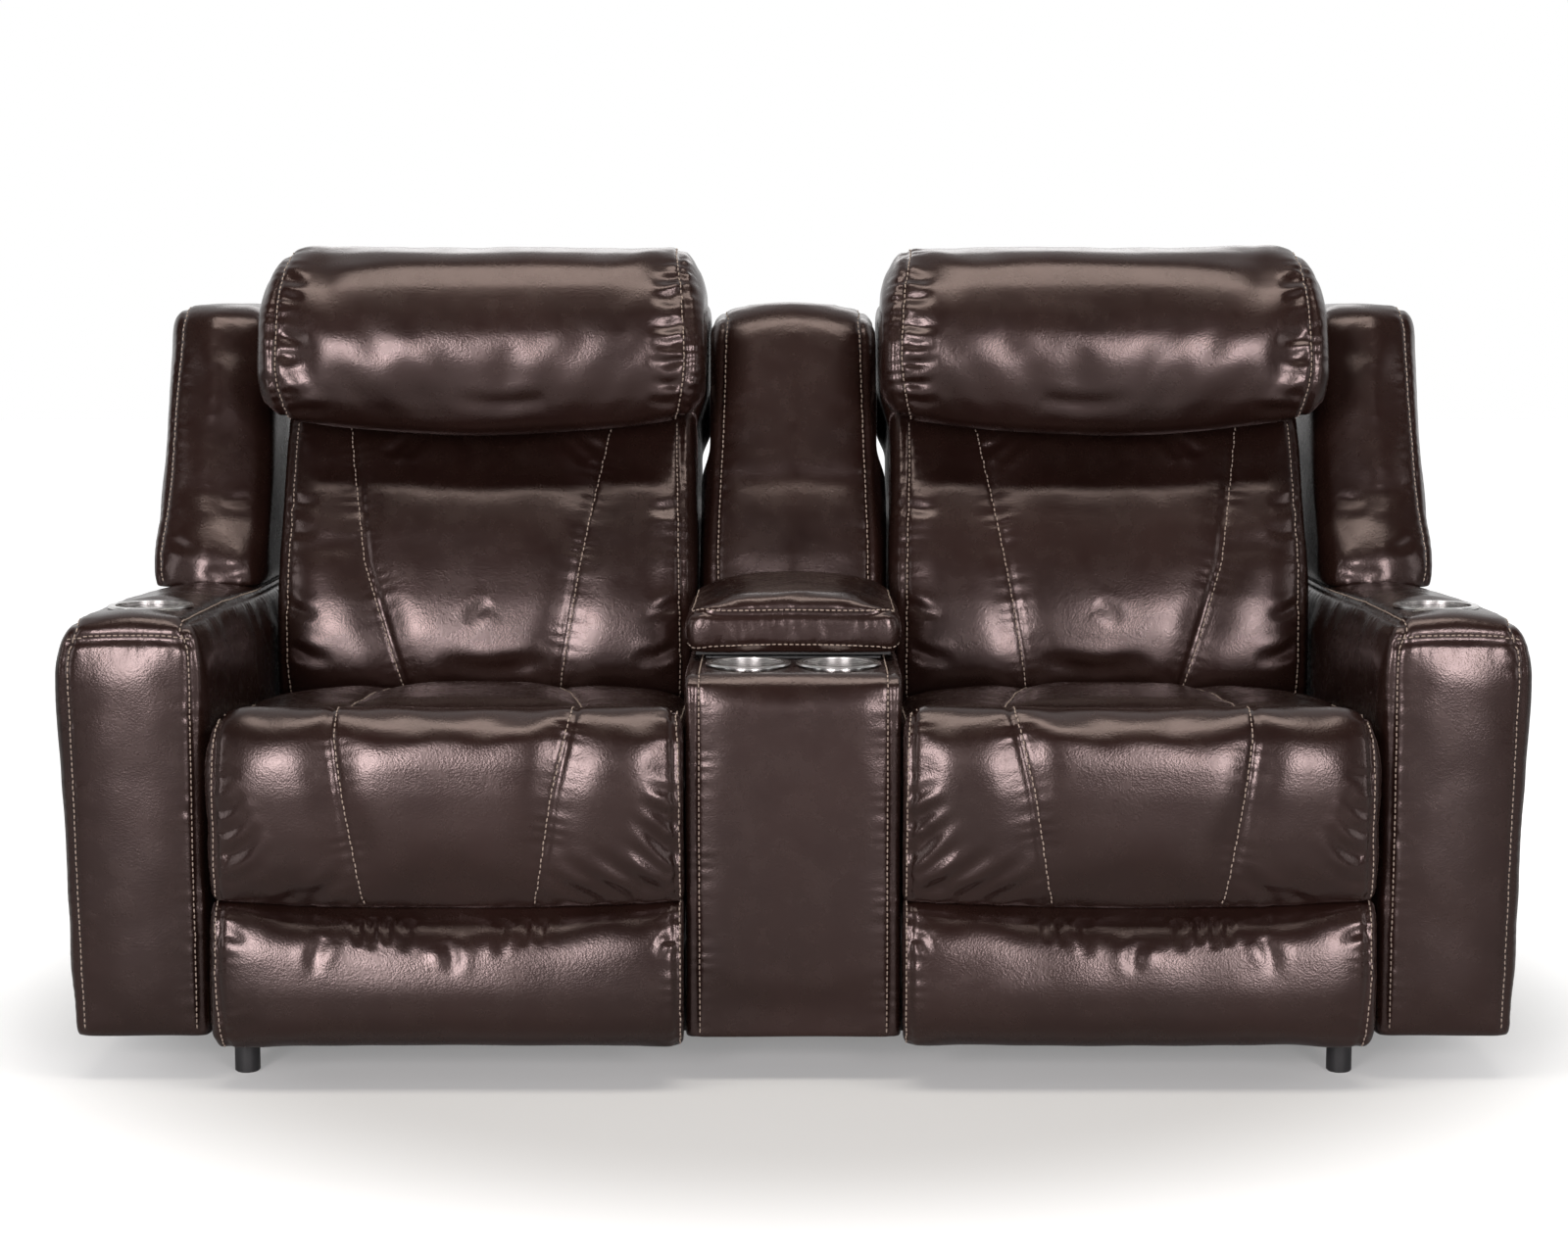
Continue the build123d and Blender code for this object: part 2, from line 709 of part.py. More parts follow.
arm_cup_setback = 122.0
arm_hem = 1.0
arm_taper = 17.0
arm_bulge_drop = 84.0
arm_flat_length = 120.0
arm_outer_foam = 38.0
arm_top_foam = 29.0
arm_cup_y = arm_front + arm_cup_setback
arm_base = foot_height - arm_hem
arm_base_width = arm_width - arm_taper
arm_bulge_height = arm_top - arm_bulge_drop
arm_roll_radius = 34.0
arm_slope_start = arm_cup_y + arm_flat_length
foam = 25.0
arm_cavity_width = arm_width - foam - arm_outer_foam
arm_cavity_rear = rear_low - foam
arm_cup_x = arm_in + foam + arm_cavity_width / 2
arm_cavity_top = arm_top - arm_top_foam
arm_board = 16.0
bezel_setback = 40.0
bezel_drop = 139.0
bezel_recess = 3.0
bezel_y = arm_cup_y + bezel_setback
bezel_z = arm_top - bezel_drop
bezel_length = 120.0
bezel_height = 40.0
bezel_depth = 17.0
bezel_face = arm_out - bezel_recess

with BuildPart() as arm_cover:
    with BuildSketch(Plane.XZ.offset(-rear_top)) as arm_section:
        with BuildLine():
            Polyline(
                (arm_in, arm_base), (arm_in + arm_base_width, arm_base),
                (arm_out, arm_bulge_height), (arm_out - 8, arm_top), (arm_in, arm_top), close=True,
            )
        make_face()
        fillet(arm_section.vertices().sort_by(Axis.Y)[-2:].sort_by(Axis.X)[-1], 55)
        fillet(arm_section.vertices().sort_by(Axis.Y)[-2:].sort_by(Axis.X)[0], 28)
    extrude(amount=rear_top - arm_front)
    with BuildSketch(Plane.YZ.offset(arm_in)) as arm_side:
        with BuildLine():
            Polyline(
                (arm_front, arm_base), (arm_front, arm_top), (arm_slope_start, arm_top),
                (wing_face, arm_top_rear), (rear_y(arm_top_rear), arm_top_rear),
                (rear_low, arm_base), close=True,
            )
        make_face()
        fillet(arm_side.vertices().group_by(Axis.X)[0].sort_by(Axis.Y)[-1], arm_roll_radius)
    extrude(amount=arm_width, mode=Mode.INTERSECT)
    block(
        arm_in + foam, arm_in + foam + arm_cavity_width, arm_front + foam, arm_cavity_rear,
        arm_base, arm_cavity_top, mode=Mode.SUBTRACT,
    )
    with Locations((arm_cup_x, arm_cup_y, arm_top)):
        Hole(cup_hole_radius, depth=arm_top - arm_cavity_top)
    block(
        bezel_face - bezel_depth, arm_out, bezel_y - bezel_length / 2, bezel_y + bezel_length / 2,
        bezel_z - bezel_height / 2, bezel_z + bezel_height / 2, mode=Mode.SUBTRACT,
    )
write_pair("arm_cover", arm_cover)

frame_window = 150.0
frame_window_height = 260.0
frame_post = 70.0
with BuildPart() as arm_frame:
    block(
        arm_in + foam, arm_in + foam + arm_cavity_width, arm_front + foam, arm_cavity_rear,
        arm_base + arm_board, arm_cavity_top,
    )
    block(
        arm_in + foam + arm_board, arm_in + foam + arm_cavity_width - arm_board,
        arm_front + foam + arm_board, arm_cavity_rear - arm_board,
        arm_base + arm_board, arm_cavity_top - arm_board, mode=Mode.SUBTRACT,
    )
    with BuildSketch(Plane.YZ.offset(arm_in + foam)):
        with Locations(((arm_front + rear_low) / 2, (arm_base + arm_cavity_top) / 2)):
            with GridLocations(frame_window + frame_post, 0, 3, 1):
                Rectangle(frame_window, frame_window_height)
    extrude(amount=arm_cavity_width, mode=Mode.SUBTRACT)
    with Locations((arm_cup_x, arm_cup_y, arm_cavity_top)):
        Hole(cup_hole_radius, depth=cup_depth + plate_gap)
write_pair("arm_frame", arm_frame)

arm_cup_holder = cup_holder(arm_cup_x, arm_cup_y, arm_top)
write_pair("arm_cup_holder", arm_cup_holder)

wing_inset = 15.0
wing_side = 31.0
wing_taper = 32.0
wing_top_inset = 21.0
wing_width = arm_width - wing_side
wing_top_width = wing_width - wing_taper
with BuildPart() as wing:
    with BuildSketch(Plane.XZ.offset(-rear_top)) as wing_section:
        with BuildLine():
            Polyline(
                (arm_in + wing_inset, arm_top_rear), (arm_in + wing_inset + wing_width, arm_top_rear),
                (arm_in + wing_top_inset + wing_top_width, wing_top),
                (arm_in + wing_top_inset, wing_top), close=True,
            )
        make_face()
        fillet(wing_section.vertices().sort_by(Axis.Y)[-2:].sort_by(Axis.X)[-1], 45)
        fillet(wing_section.vertices().sort_by(Axis.Y)[-2:].sort_by(Axis.X)[0], 14)
    extrude(amount=rear_top - wing_face)
    with BuildSketch(Plane.YZ.offset(arm_in)) as wing_side:
        with BuildLine():
            Polyline(
                (wing_face, arm_top_rear), (wing_y(wing_top), wing_top),
                (rear_y(wing_top), wing_top), (rear_y(arm_top_rear), arm_top_rear), close=True,
            )
        make_face()
        fillet(wing_side.vertices().group_by(Axis.Y)[-1], 24)
    extrude(amount=arm_width, mode=Mode.INTERSECT)
write_pair("wing", wing)

# ---- Power controls let into the outer face of each arm ----
rocker_length = 46.0
rocker_height = 24.0
rocker_spacing = 56.0
rocker_pin_radius = 2.0
rocker_pin_length = 4.0
rocker_axis_x = bezel_face - 8
rocker_back = rocker_axis_x - 4
window_floor = rocker_back - 3.5
with BuildPart() as control_bezels:
    block(
        bezel_face - bezel_depth, bezel_face, bezel_y - bezel_length / 2, bezel_y + bezel_length / 2,
        bezel_z - bezel_height / 2, bezel_z + bezel_height / 2,
    )
    for side in (-1, 1):
        y = bezel_y + side * rocker_spacing / 2
        block(
            window_floor, bezel_face,
            y - rocker_length / 2 - rocker_clearance, y + rocker_length / 2 + rocker_clearance,
            bezel_z - rocker_height / 2 - rocker_clearance, bezel_z + rocker_height / 2 + rocker_clearance,
            mode=Mode.SUBTRACT,
        )
        with Locations((rocker_axis_x, y, bezel_z)):
            Cylinder(
                rocker_pin_radius + running_clearance,
                rocker_height + 2 * rocker_pin_length + 2 * loose_clearance, mode=Mode.SUBTRACT,
            )
    mirror(about=Plane.YZ)
write("control_bezels", control_bezels.part)

for rocker_name, side in (("recline_rocker", -1), ("headrest_rocker", 1)):
    y = bezel_y + side * rocker_spacing / 2
    with BuildPart() as rocker:
        with BuildSketch(Plane.XY.offset(bezel_z - rocker_height / 2)):
            with BuildLine():
                Polyline(
                    (rocker_back, y - rocker_length / 2 + 1), (rocker_back, y + rocker_length / 2 - 1),
                    (bezel_face + 1, y + rocker_length / 2), (bezel_face - 0.5, y),
                    (bezel_face + 1, y - rocker_length / 2), close=True,
                )
            make_face()
        extrude(amount=rocker_height)
        with Locations((rocker_axis_x, y, bezel_z)):
            Cylinder(rocker_pin_radius, rocker_height + 2 * rocker_pin_length)
    write_pair(rocker_name, rocker)

# ======== Storage console ========
console_setback = 53.0
console_front = seat_front + console_setback
console_wall = 22.0
console_roll = 14.0
console_cup_x = 57.0
console_cup_setback = 81.0
bin_margin = 28.5
bin_setback = 66.5
bin_rear_margin = 50.5
bin_depth = 193.0
console_cup_y = console_front + console_cup_setback
bin_width = console_width - 2 * bin_margin
bin_front = console_cup_y + bin_setback
bin_rear = wing_face - bin_rear_margin
bin_floor = console_top - bin_depth
bin_wall = 3.0
bin_corner = 12.0
bin_flange = 7.5
bin_flange_thickness = 2.0
console_apron = front_rail_front - board_gap

with BuildPart() as console_body:
    with BuildSketch(Plane.YZ.offset(-console_side)) as console_profile:
        with BuildLine():
            Polyline(
                (console_front, arm_base), (console_front, console_top), (rear_y(console_top), console_top),
                (rear_rail_rear, skirt_top), (rear_rail_rear, rail_top),
                (console_apron, rail_top), (console_apron, arm_base), close=True,
            )
        make_face()
        fillet(console_profile.vertices().group_by(Axis.X)[0].sort_by(Axis.Y)[-1], console_roll)
    extrude(amount=console_width)
    block(
        -console_side + console_wall, console_side - console_wall,
        console_front + console_wall, rear_rail_rear - 2 * console_wall,
        rail_top, console_top - console_wall, mode=Mode.SUBTRACT,
    )
    block(
        -bin_width / 2, bin_width / 2, bin_front, bin_rear,
        console_top - console_wall, console_top, mode=Mode.SUBTRACT,
    )
    with Locations((-console_cup_x, console_cup_y, console_top), (console_cup_x, console_cup_y, console_top)):
        Hole(cup_hole_radius, depth=console_wall)
write("console_body", console_body.part)

with BuildPart() as console_bin:
    block(-bin_width / 2, bin_width / 2, bin_front, bin_rear, bin_floor, console_top)
    fillet(console_bin.edges().filter_by(Axis.Z), bin_corner)
    block(
        -bin_width / 2 - bin_flange, bin_width / 2 + bin_flange, bin_front - bin_flange,
        bin_rear + bin_flange, console_top, console_top + bin_flange_thickness,
    )
    block(
        -bin_width / 2 + bin_wall, bin_width / 2 - bin_wall, bin_front + bin_wall, bin_rear - bin_wall,
        bin_floor + bin_wall, console_top + bin_flange_thickness, mode=Mode.SUBTRACT,
    )
write("console_bin", console_bin.part)

console_cup_holder = cup_holder(console_cup_x, console_cup_y, console_top)
write_pair("console_cup_holder", console_cup_holder)

centre_back_margin = 9.0
centre_back_taper = 10.0
centre_back_crown = 20.0
centre_back_width = console_width - 2 * centre_back_margin
centre_back_top_width = centre_back_width - 2 * centre_back_taper
centre_back_shoulder = centre_back_top - centre_back_crown
with BuildPart() as centre_back:
    with BuildSketch(Plane.XZ.offset(-rear_top)):
        with BuildLine():
            foot_line = Line((-centre_back_width / 2, console_top), (centre_back_width / 2, console_top))
            right_side = Line(foot_line @ 1, (centre_back_top_width / 2, centre_back_shoulder))
            crown = ThreePointArc(
                right_side @ 1, (0, centre_back_top), (-centre_back_top_width / 2, centre_back_shoulder)
            )
            Line(crown @ 1, foot_line @ 0)
        make_face()
    extrude(amount=rear_top - wing_y(console_top))
    with BuildSketch(Plane.YZ.offset(-console_side)) as centre_side:
        with BuildLine():
            Polyline(
                (wing_y(console_top), console_top), (wing_y(centre_back_top), centre_back_top),
                (rear_y(centre_back_top), centre_back_top), (rear_y(console_top), console_top), close=True,
            )
        make_face()
        fillet(centre_side.vertices().group_by(Axis.Y)[-1], 24)
    extrude(amount=console_width, mode=Mode.INTERSECT)
write("centre_back", centre_back.part)

# ---- Lid ----
lid_overlap = 10.5
lid_margin = 2.0
lid_gap = 2.0
lid_height = 84.0
lid_side_height = 60.0
lid_axis_setback = 9.0
lid_axis_height = 65.0
lid_front = bin_front - lid_overlap
lid_rear = front_low
lid_width = console_width - 2 * lid_margin
lid_board_thickness = 10.0
lid_board_inset = 6.0
lid_top = console_top + lid_height
lid_side_top = console_top + lid_side_height
lid_base = console_top + bin_flange_thickness + lid_gap
lid_axis = (lid_rear + lid_axis_setback, console_top + lid_axis_height)
hinge_x = 70.0
hinge_plate = 4.0
hinge_knuckle = 11.0
hinge_pin = 4.0
hinge_eye = 8.0
hinge_play = 0.5

with BuildPart() as lid_board:
    block(
        -lid_width / 2 + lid_board_inset, lid_width / 2 - lid_board_inset,
        lid_front + lid_board_inset, lid_rear - lid_board_inset, lid_base, lid_base + lid_board_thickness,
    )
write("lid_board", lid_board.part)

with BuildPart() as lid_pad:
    with BuildSketch(Plane.XZ.offset(-lid_rear)) as lid_section:
        with BuildLine():
            base_line = Line(
                (-lid_width / 2, lid_base + lid_board_thickness), (lid_width / 2, lid_base + lid_board_thickness)
            )
            right_side = Line(base_line @ 1, (lid_width / 2, lid_side_top))
            crown = ThreePointArc(right_side @ 1, (0, lid_top), (-lid_width / 2, lid_side_top))
            Line(crown @ 1, base_line @ 0)
        make_face()
        fillet(lid_section.vertices().group_by(Axis.Y)[-1], 16)
    extrude(amount=lid_rear - lid_front)
    fillet(lid_pad.edges().filter_by(Axis.X).group_by(Axis.Y)[0], 4)
write("lid_pad", lid_pad.part)

with BuildPart() as lid_hinge_posts:
    plate(hinge_x, hinge_plate, [(*lid_axis, 6), (lid_axis[0], console_top + 6, 6)])
    block(
        hinge_x, hinge_x + hinge_plate + hinge_knuckle, lid_axis[0] - 6, lid_axis[0] + 6,
        console_top, console_top + hinge_plate,
    )
    pin(hinge_x + hinge_plate, hinge_x + hinge_plate + hinge_knuckle + hinge_play, lid_axis, hinge_pin)
    mirror(about=Plane.YZ)
write("lid_hinge_posts", lid_hinge_posts.part)

with BuildPart() as lid_hinge_leaves:
    pin(
        hinge_x + hinge_plate + hinge_play, hinge_x + hinge_plate + hinge_knuckle, lid_axis, hinge_eye
    )
    block(
        hinge_x + hinge_plate + hinge_play, hinge_x + hinge_plate + hinge_knuckle,
        lid_rear, lid_axis[0], lid_axis[1] - 32, lid_axis[1],
    )
    block(
        hinge_x + hinge_plate + hinge_play, hinge_x + hinge_plate + hinge_knuckle,
        lid_rear + hinge_plate, lid_axis[0], lid_axis[1] - 32, lid_axis[1] - hinge_eye, mode=Mode.SUBTRACT,
    )
    pin(
        hinge_x + hinge_plate + hinge_play, hinge_x + hinge_plate + hinge_knuckle,
        lid_axis, hinge_pin + running_clearance, Mode.SUBTRACT,
    )
    mirror(about=Plane.YZ)
write("lid_hinge_leaves", lid_hinge_leaves.part)
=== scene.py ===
import json
import math

import bmesh
import bpy
import numpy as np
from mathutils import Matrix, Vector
from mathutils.bvhtree import BVHTree


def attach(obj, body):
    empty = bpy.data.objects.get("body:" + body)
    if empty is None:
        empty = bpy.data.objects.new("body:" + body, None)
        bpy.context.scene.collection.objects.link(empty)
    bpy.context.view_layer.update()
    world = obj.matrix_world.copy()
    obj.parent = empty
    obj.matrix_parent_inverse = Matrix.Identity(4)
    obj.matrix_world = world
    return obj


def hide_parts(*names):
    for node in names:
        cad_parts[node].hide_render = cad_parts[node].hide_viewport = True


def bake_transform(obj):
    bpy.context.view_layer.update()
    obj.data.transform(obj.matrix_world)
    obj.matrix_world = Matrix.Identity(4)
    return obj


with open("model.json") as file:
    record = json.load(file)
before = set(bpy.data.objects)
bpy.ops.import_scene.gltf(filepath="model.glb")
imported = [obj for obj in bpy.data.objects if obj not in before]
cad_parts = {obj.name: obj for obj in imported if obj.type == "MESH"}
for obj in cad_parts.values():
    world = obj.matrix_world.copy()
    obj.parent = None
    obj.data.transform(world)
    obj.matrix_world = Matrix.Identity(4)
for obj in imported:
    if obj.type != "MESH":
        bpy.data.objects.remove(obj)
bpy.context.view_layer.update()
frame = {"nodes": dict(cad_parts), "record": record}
nodes = frame["nodes"]
bpy.ops.object.select_all(action="DESELECT")
print("frame loaded,", len(nodes), "nodes")

# Sizes in the dictionaries are millimetres in the sofa's own axes, for the right-hand seat.
mm = 0.001


# Node helpers.
def newGroup(name, inputs, outputs):
    group = bpy.data.node_groups.new(name, "ShaderNodeTree")
    for label, kind, value in inputs:
        made = group.interface.new_socket(label, in_out="INPUT", socket_type=kind)
        if value is not None:
            made.default_value = value
    for label, kind in outputs:
        group.interface.new_socket(label, in_out="OUTPUT", socket_type=kind)
    enter = group.nodes.new("NodeGroupInput")
    leave = group.nodes.new("NodeGroupOutput")
    return group, enter, leave


def addNode(tree, kind, values=(), **settings):
    made = tree.nodes.new(kind)
    for key, value in settings.items():
        setattr(made, key, value)
    for key, value in dict(values).items():
        made.inputs[key].default_value = value
    return made


def blendColours(tree, factor, first, second):
    mix = addNode(tree, "ShaderNodeMix", data_type="RGBA")
    for place, value in ((0, factor), (6, first), (7, second)):
        if isinstance(value, bpy.types.NodeSocket):
            tree.links.new(value, mix.inputs[place])
        elif place == 0:
            mix.inputs[place].default_value = value
        else:
            mix.inputs[place].default_value = (*value, 1.0)
    return mix.outputs[2]


def calculate(tree, operation, first, second=0.0, third=None):
    made = addNode(tree, "ShaderNodeMath", operation=operation)
    for place, value in enumerate((first, second, third)):
        if value is None:
            continue
        if isinstance(value, bpy.types.NodeSocket):
            tree.links.new(value, made.inputs[place])
        else:
            made.inputs[place].default_value = value
    return made.outputs[0]


def newMaterial(name, **sockets):
    material = bpy.data.materials.new(name)
    material.use_nodes = True
    shader = material.node_tree.nodes["Principled BSDF"]
    for key, value in sockets.items():
        shader.inputs[key.replace("_", " ")].default_value = value
    place = addNode(material.node_tree, "ShaderNodeTexCoord")
    return material, material.node_tree, shader, place.outputs["Object"]


def raiseBump(tree, shader, height, strength, distance):
    bump = addNode(tree, "ShaderNodeBump", {"Strength": strength, "Distance": distance})
    tree.links.new(height, bump.inputs["Height"])
    tree.links.new(bump.outputs[0], shader.inputs["Normal"])


def spread(tree, value, low, high, fromLow=0.3, fromHigh=0.7):
    made = addNode(tree, "ShaderNodeMapRange", {
        "From Min": fromLow, "From Max": fromHigh, "To Min": low, "To Max": high})
    tree.links.new(value, made.inputs["Value"])
    return made.outputs[0]


# Camera, light and floor.
camera = {"place": (0.0, -3.936, 0.973), "down": 6.46, "lens": 65.7, "shiftX": -0.0059}
plainWhite = (1.0, 1.0, 1.0, 1.0)
studio = {
    # near the sofa the floor glows less, a painted shade around it; far away it glows as the white backdrop
    "world": 0.055, "floorColour": (0.42, 0.42, 0.42), "glowNear": 0.22, "glowFar": 1.0, "glowReach": (0.7, 1.4),
    "glossShare": 0.14,
    "lamps": [  # name, place, aim, width, height, power, colour
        ("overheadBox", (0.0, -0.95, 2.9), (0.0, -0.1, 0.5), 3.0, 0.9, 60.0, (1.0, 0.95, 0.86)),
        ("leftWindow", (-1.6, -4.3, 1.2), (-0.2, -0.3, 0.6), 1.0, 1.3, 142.0, (1.0, 0.94, 0.95)),
        ("rightWindow", (1.6, -4.3, 1.2), (0.2, -0.3, 0.6), 1.0, 1.3, 118.0, (1.0, 0.94, 0.95)),
        ("leftBox", (-3.0, -1.6, 1.1), (-0.3, -0.2, 0.5), 0.6, 1.6, 12.0, (1.0, 1.0, 1.0)),
        ("rightBox", (3.0, -1.6, 1.1), (0.3, -0.2, 0.5), 0.6, 1.6, 10.0, (1.0, 1.0, 1.0)),
        ("rearBox", (0.0, 2.4, 2.4), (0.0, 0.3, 0.7), 2.6, 1.2, 22.0, (1.0, 1.0, 1.0)),
    ],
}


def addCamera(spec):
    data = bpy.data.cameras.new("photoCamera")
    data.lens = spec["lens"]
    data.sensor_width = 36.0
    data.sensor_fit = "HORIZONTAL"
    data.shift_x = spec["shiftX"]
    data.clip_end = 60.0
    view = bpy.data.objects.new("photoCamera", data)
    view.location = spec["place"]
    view.rotation_euler = (math.radians(90.0 - spec["down"]), 0.0, 0.0)
    bpy.context.scene.collection.objects.link(view)
    bpy.context.scene.camera = view


def addLamp(name, place, aim, width, height, power, colour):
    data = bpy.data.lights.new(name, "AREA")
    data.shape = "RECTANGLE"
    data.size = width
    data.size_y = height
    data.energy = power
    data.color = colour
    lamp = bpy.data.objects.new(name, data)
    lamp.location = place
    lamp.rotation_euler = (Vector(aim) - Vector(place)).to_track_quat("-Z", "Y").to_euler()
    bpy.context.scene.collection.objects.link(lamp)


def pictureRay(tree):
    path = addNode(tree, "ShaderNodeLightPath")
    apart = addNode(tree, "ShaderNodeSeparateXYZ")
    tree.links.new(addNode(tree, "ShaderNodeTexCoord").outputs["Generated"], apart.inputs[0])
    behind = spread(tree, apart.outputs["Y"], 0.0, 1.0, -0.15, 0.35)  # mirrored rays see white only behind the sofa
    mirrored = calculate(tree, "MULTIPLY", path.outputs["Is Glossy Ray"], behind)
    shown = calculate(tree, "MAXIMUM", path.outputs["Is Camera Ray"], mirrored)
    return calculate(tree, "MAXIMUM", shown, path.outputs["Is Transmission Ray"])


def makeWorld(spec):
    world = bpy.data.worlds.new("studioWorld")
    bpy.context.scene.world = world
    world.use_nodes = True
    tree = world.node_tree
    tree.nodes.clear()
    dim = addNode(tree, "ShaderNodeBackground", {"Color": plainWhite, "Strength": spec["world"]})
    white = addNode(tree, "ShaderNodeBackground", {"Color": plainWhite})
    mix = addNode(tree, "ShaderNodeMixShader")
    output = addNode(tree, "ShaderNodeOutputWorld")
    for place, source in enumerate((pictureRay(tree), dim.outputs[0], white.outputs[0])):
        tree.links.new(source, mix.inputs[place])
    tree.links.new(mix.outputs[0], output.inputs[0])


def makeFloor(spec):
    bpy.ops.mesh.primitive_plane_add(size=40.0, location=(0.0, 0.0, 0.0))
    floor = bpy.context.object
    floor.name = "studioFloor"
    material, tree, shader, place = newMaterial(
        "paleFloor", Base_Color=(*spec["floorColour"], 1.0), Roughness=0.75, Specular_IOR_Level=0.1,
        Emission_Color=plainWhite)
    path = addNode(tree, "ShaderNodeLightPath")
    reach = addNode(tree, "ShaderNodeVectorMath", operation="LENGTH")
    tree.links.new(place, reach.inputs[0])
    low, high = spec["glowReach"]  # the floor's glow is low near the sofa, a painted shade around it, and turns into the white backdrop away from the sofa
    glow = addNode(tree, "ShaderNodeMapRange", {
        "From Min": low, "From Max": high, "To Min": spec["glowNear"], "To Max": spec["glowFar"],
    }, interpolation_type="SMOOTHSTEP")
    tree.links.new(reach.outputs["Value"], glow.inputs["Value"])
    mirrored = calculate(tree, "MULTIPLY", path.outputs["Is Glossy Ray"], spec["glossShare"])
    seen = calculate(tree, "MAXIMUM", path.outputs["Is Camera Ray"], mirrored)
    tree.links.new(calculate(tree, "MULTIPLY", seen, glow.outputs[0]), shader.inputs["Emission Strength"])
    floor.data.materials.append(material)


addCamera(camera)
makeWorld(studio)
makeFloor(studio)
for lamp in studio["lamps"]:
    addLamp(*lamp)
bpy.context.scene.view_settings.view_transform = "Standard"
print("camera and studio ready")


# Materials.
def makeGrainGroup():
    group, enter, leave = newGroup(
        "hideGrain",
        [("Vector", "NodeSocketVector", None), ("Cell", "NodeSocketFloat", 420.0), ("Crease", "NodeSocketFloat", 95.0)],
        [("Height", "NodeSocketFloat"), ("Cloud", "NodeSocketFloat"), ("Streak", "NodeSocketFloat")],
    )
    vector = enter.outputs["Vector"]
    warp = addNode(group, "ShaderNodeTexNoise", {"Scale": 60.0, "Detail": 2.0})
    group.links.new(vector, warp.inputs["Vector"])
    shift = addNode(group, "ShaderNodeVectorMath", operation="MULTIPLY_ADD")
    group.links.new(warp.outputs["Color"], shift.inputs[0])
    shift.inputs[1].default_value = (0.0018, 0.0018, 0.0018)
    group.links.new(vector, shift.inputs[2])
    pebble = addNode(group, "ShaderNodeTexVoronoi", feature="SMOOTH_F1")
    pebble.inputs["Smoothness"].default_value = 0.6
    group.links.new(shift.outputs[0], pebble.inputs["Vector"])
    group.links.new(enter.outputs["Cell"], pebble.inputs["Scale"])
    crease = addNode(group, "ShaderNodeTexVoronoi", feature="DISTANCE_TO_EDGE")
    group.links.new(shift.outputs[0], crease.inputs["Vector"])
    group.links.new(enter.outputs["Crease"], crease.inputs["Scale"])
    edge = calculate(group, "MULTIPLY", crease.outputs["Distance"], 3.0)
    edge = calculate(group, "MINIMUM", edge, 1.0)
    cloud = addNode(group, "ShaderNodeTexNoise", {"Scale": 4.0, "Detail": 5.0, "Roughness": 0.6})
    group.links.new(vector, cloud.inputs["Vector"])
    streak = addNode(group, "ShaderNodeTexNoise", {"Scale": 26.0, "Detail": 6.0, "Roughness": 0.65})
    group.links.new(shift.outputs[0], streak.inputs["Vector"])
    soft = calculate(group, "MULTIPLY", pebble.outputs["Distance"], 0.8)
    creased = calculate(group, "MULTIPLY_ADD", edge, calculate(group, "MULTIPLY", streak.outputs[0], 0.4), soft)
    height = calculate(group, "MULTIPLY_ADD", streak.outputs[0], 0.5, creased)
    group.links.new(height, leave.inputs["Height"])
    group.links.new(cloud.outputs[0], leave.inputs["Cloud"])
    group.links.new(streak.outputs[0], leave.inputs["Streak"])
    return group


leather = {
    "dark": (0.0058, 0.0021, 0.0016), "light": (0.0130, 0.0052, 0.0042), "warm": (0.0120, 0.0064, 0.0040),
    "gloss": (0.23, 0.30), "tint": (1.0, 0.80, 0.78), "grain": 0.18, "grainDepth": 0.0009,
}


def makeLeather(name, spec, grainGroup):
    material, tree, shader, place = newMaterial(name, IOR=1.5, Specular_Tint=(*spec["tint"], 1.0))
    grain = addNode(tree, "ShaderNodeGroup", node_tree=grainGroup)
    tree.links.new(place, grain.inputs["Vector"])
    cloud = spread(tree, grain.outputs["Cloud"], 0.0, 1.0)
    streak = spread(tree, grain.outputs["Streak"], 0.0, 1.0)
    colour = blendColours(tree, cloud, spec["dark"], spec["light"])
    colour = blendColours(tree, calculate(tree, "MULTIPLY", streak, 0.35), colour, spec["warm"])
    tree.links.new(colour, shader.inputs["Base Color"])
    tree.links.new(spread(tree, grain.outputs["Streak"], *spec["gloss"]), shader.inputs["Roughness"])
    raiseBump(tree, shader, grain.outputs["Height"], spec["grain"], spec["grainDepth"])
    return material


def makeThread(name):
    material, tree, shader, place = newMaterial(name, Specular_IOR_Level=0.3, Roughness=0.7)
    twist = addNode(tree, "ShaderNodeTexNoise", {"Scale": 900.0, "Detail": 2.0})
    tree.links.new(place, twist.inputs["Vector"])
    tree.links.new(
        blendColours(tree, spread(tree, twist.outputs[0], 0.0, 1.0), (0.17, 0.132, 0.108), (0.31, 0.25, 0.21)),
        shader.inputs["Base Color"],
    )
    return material


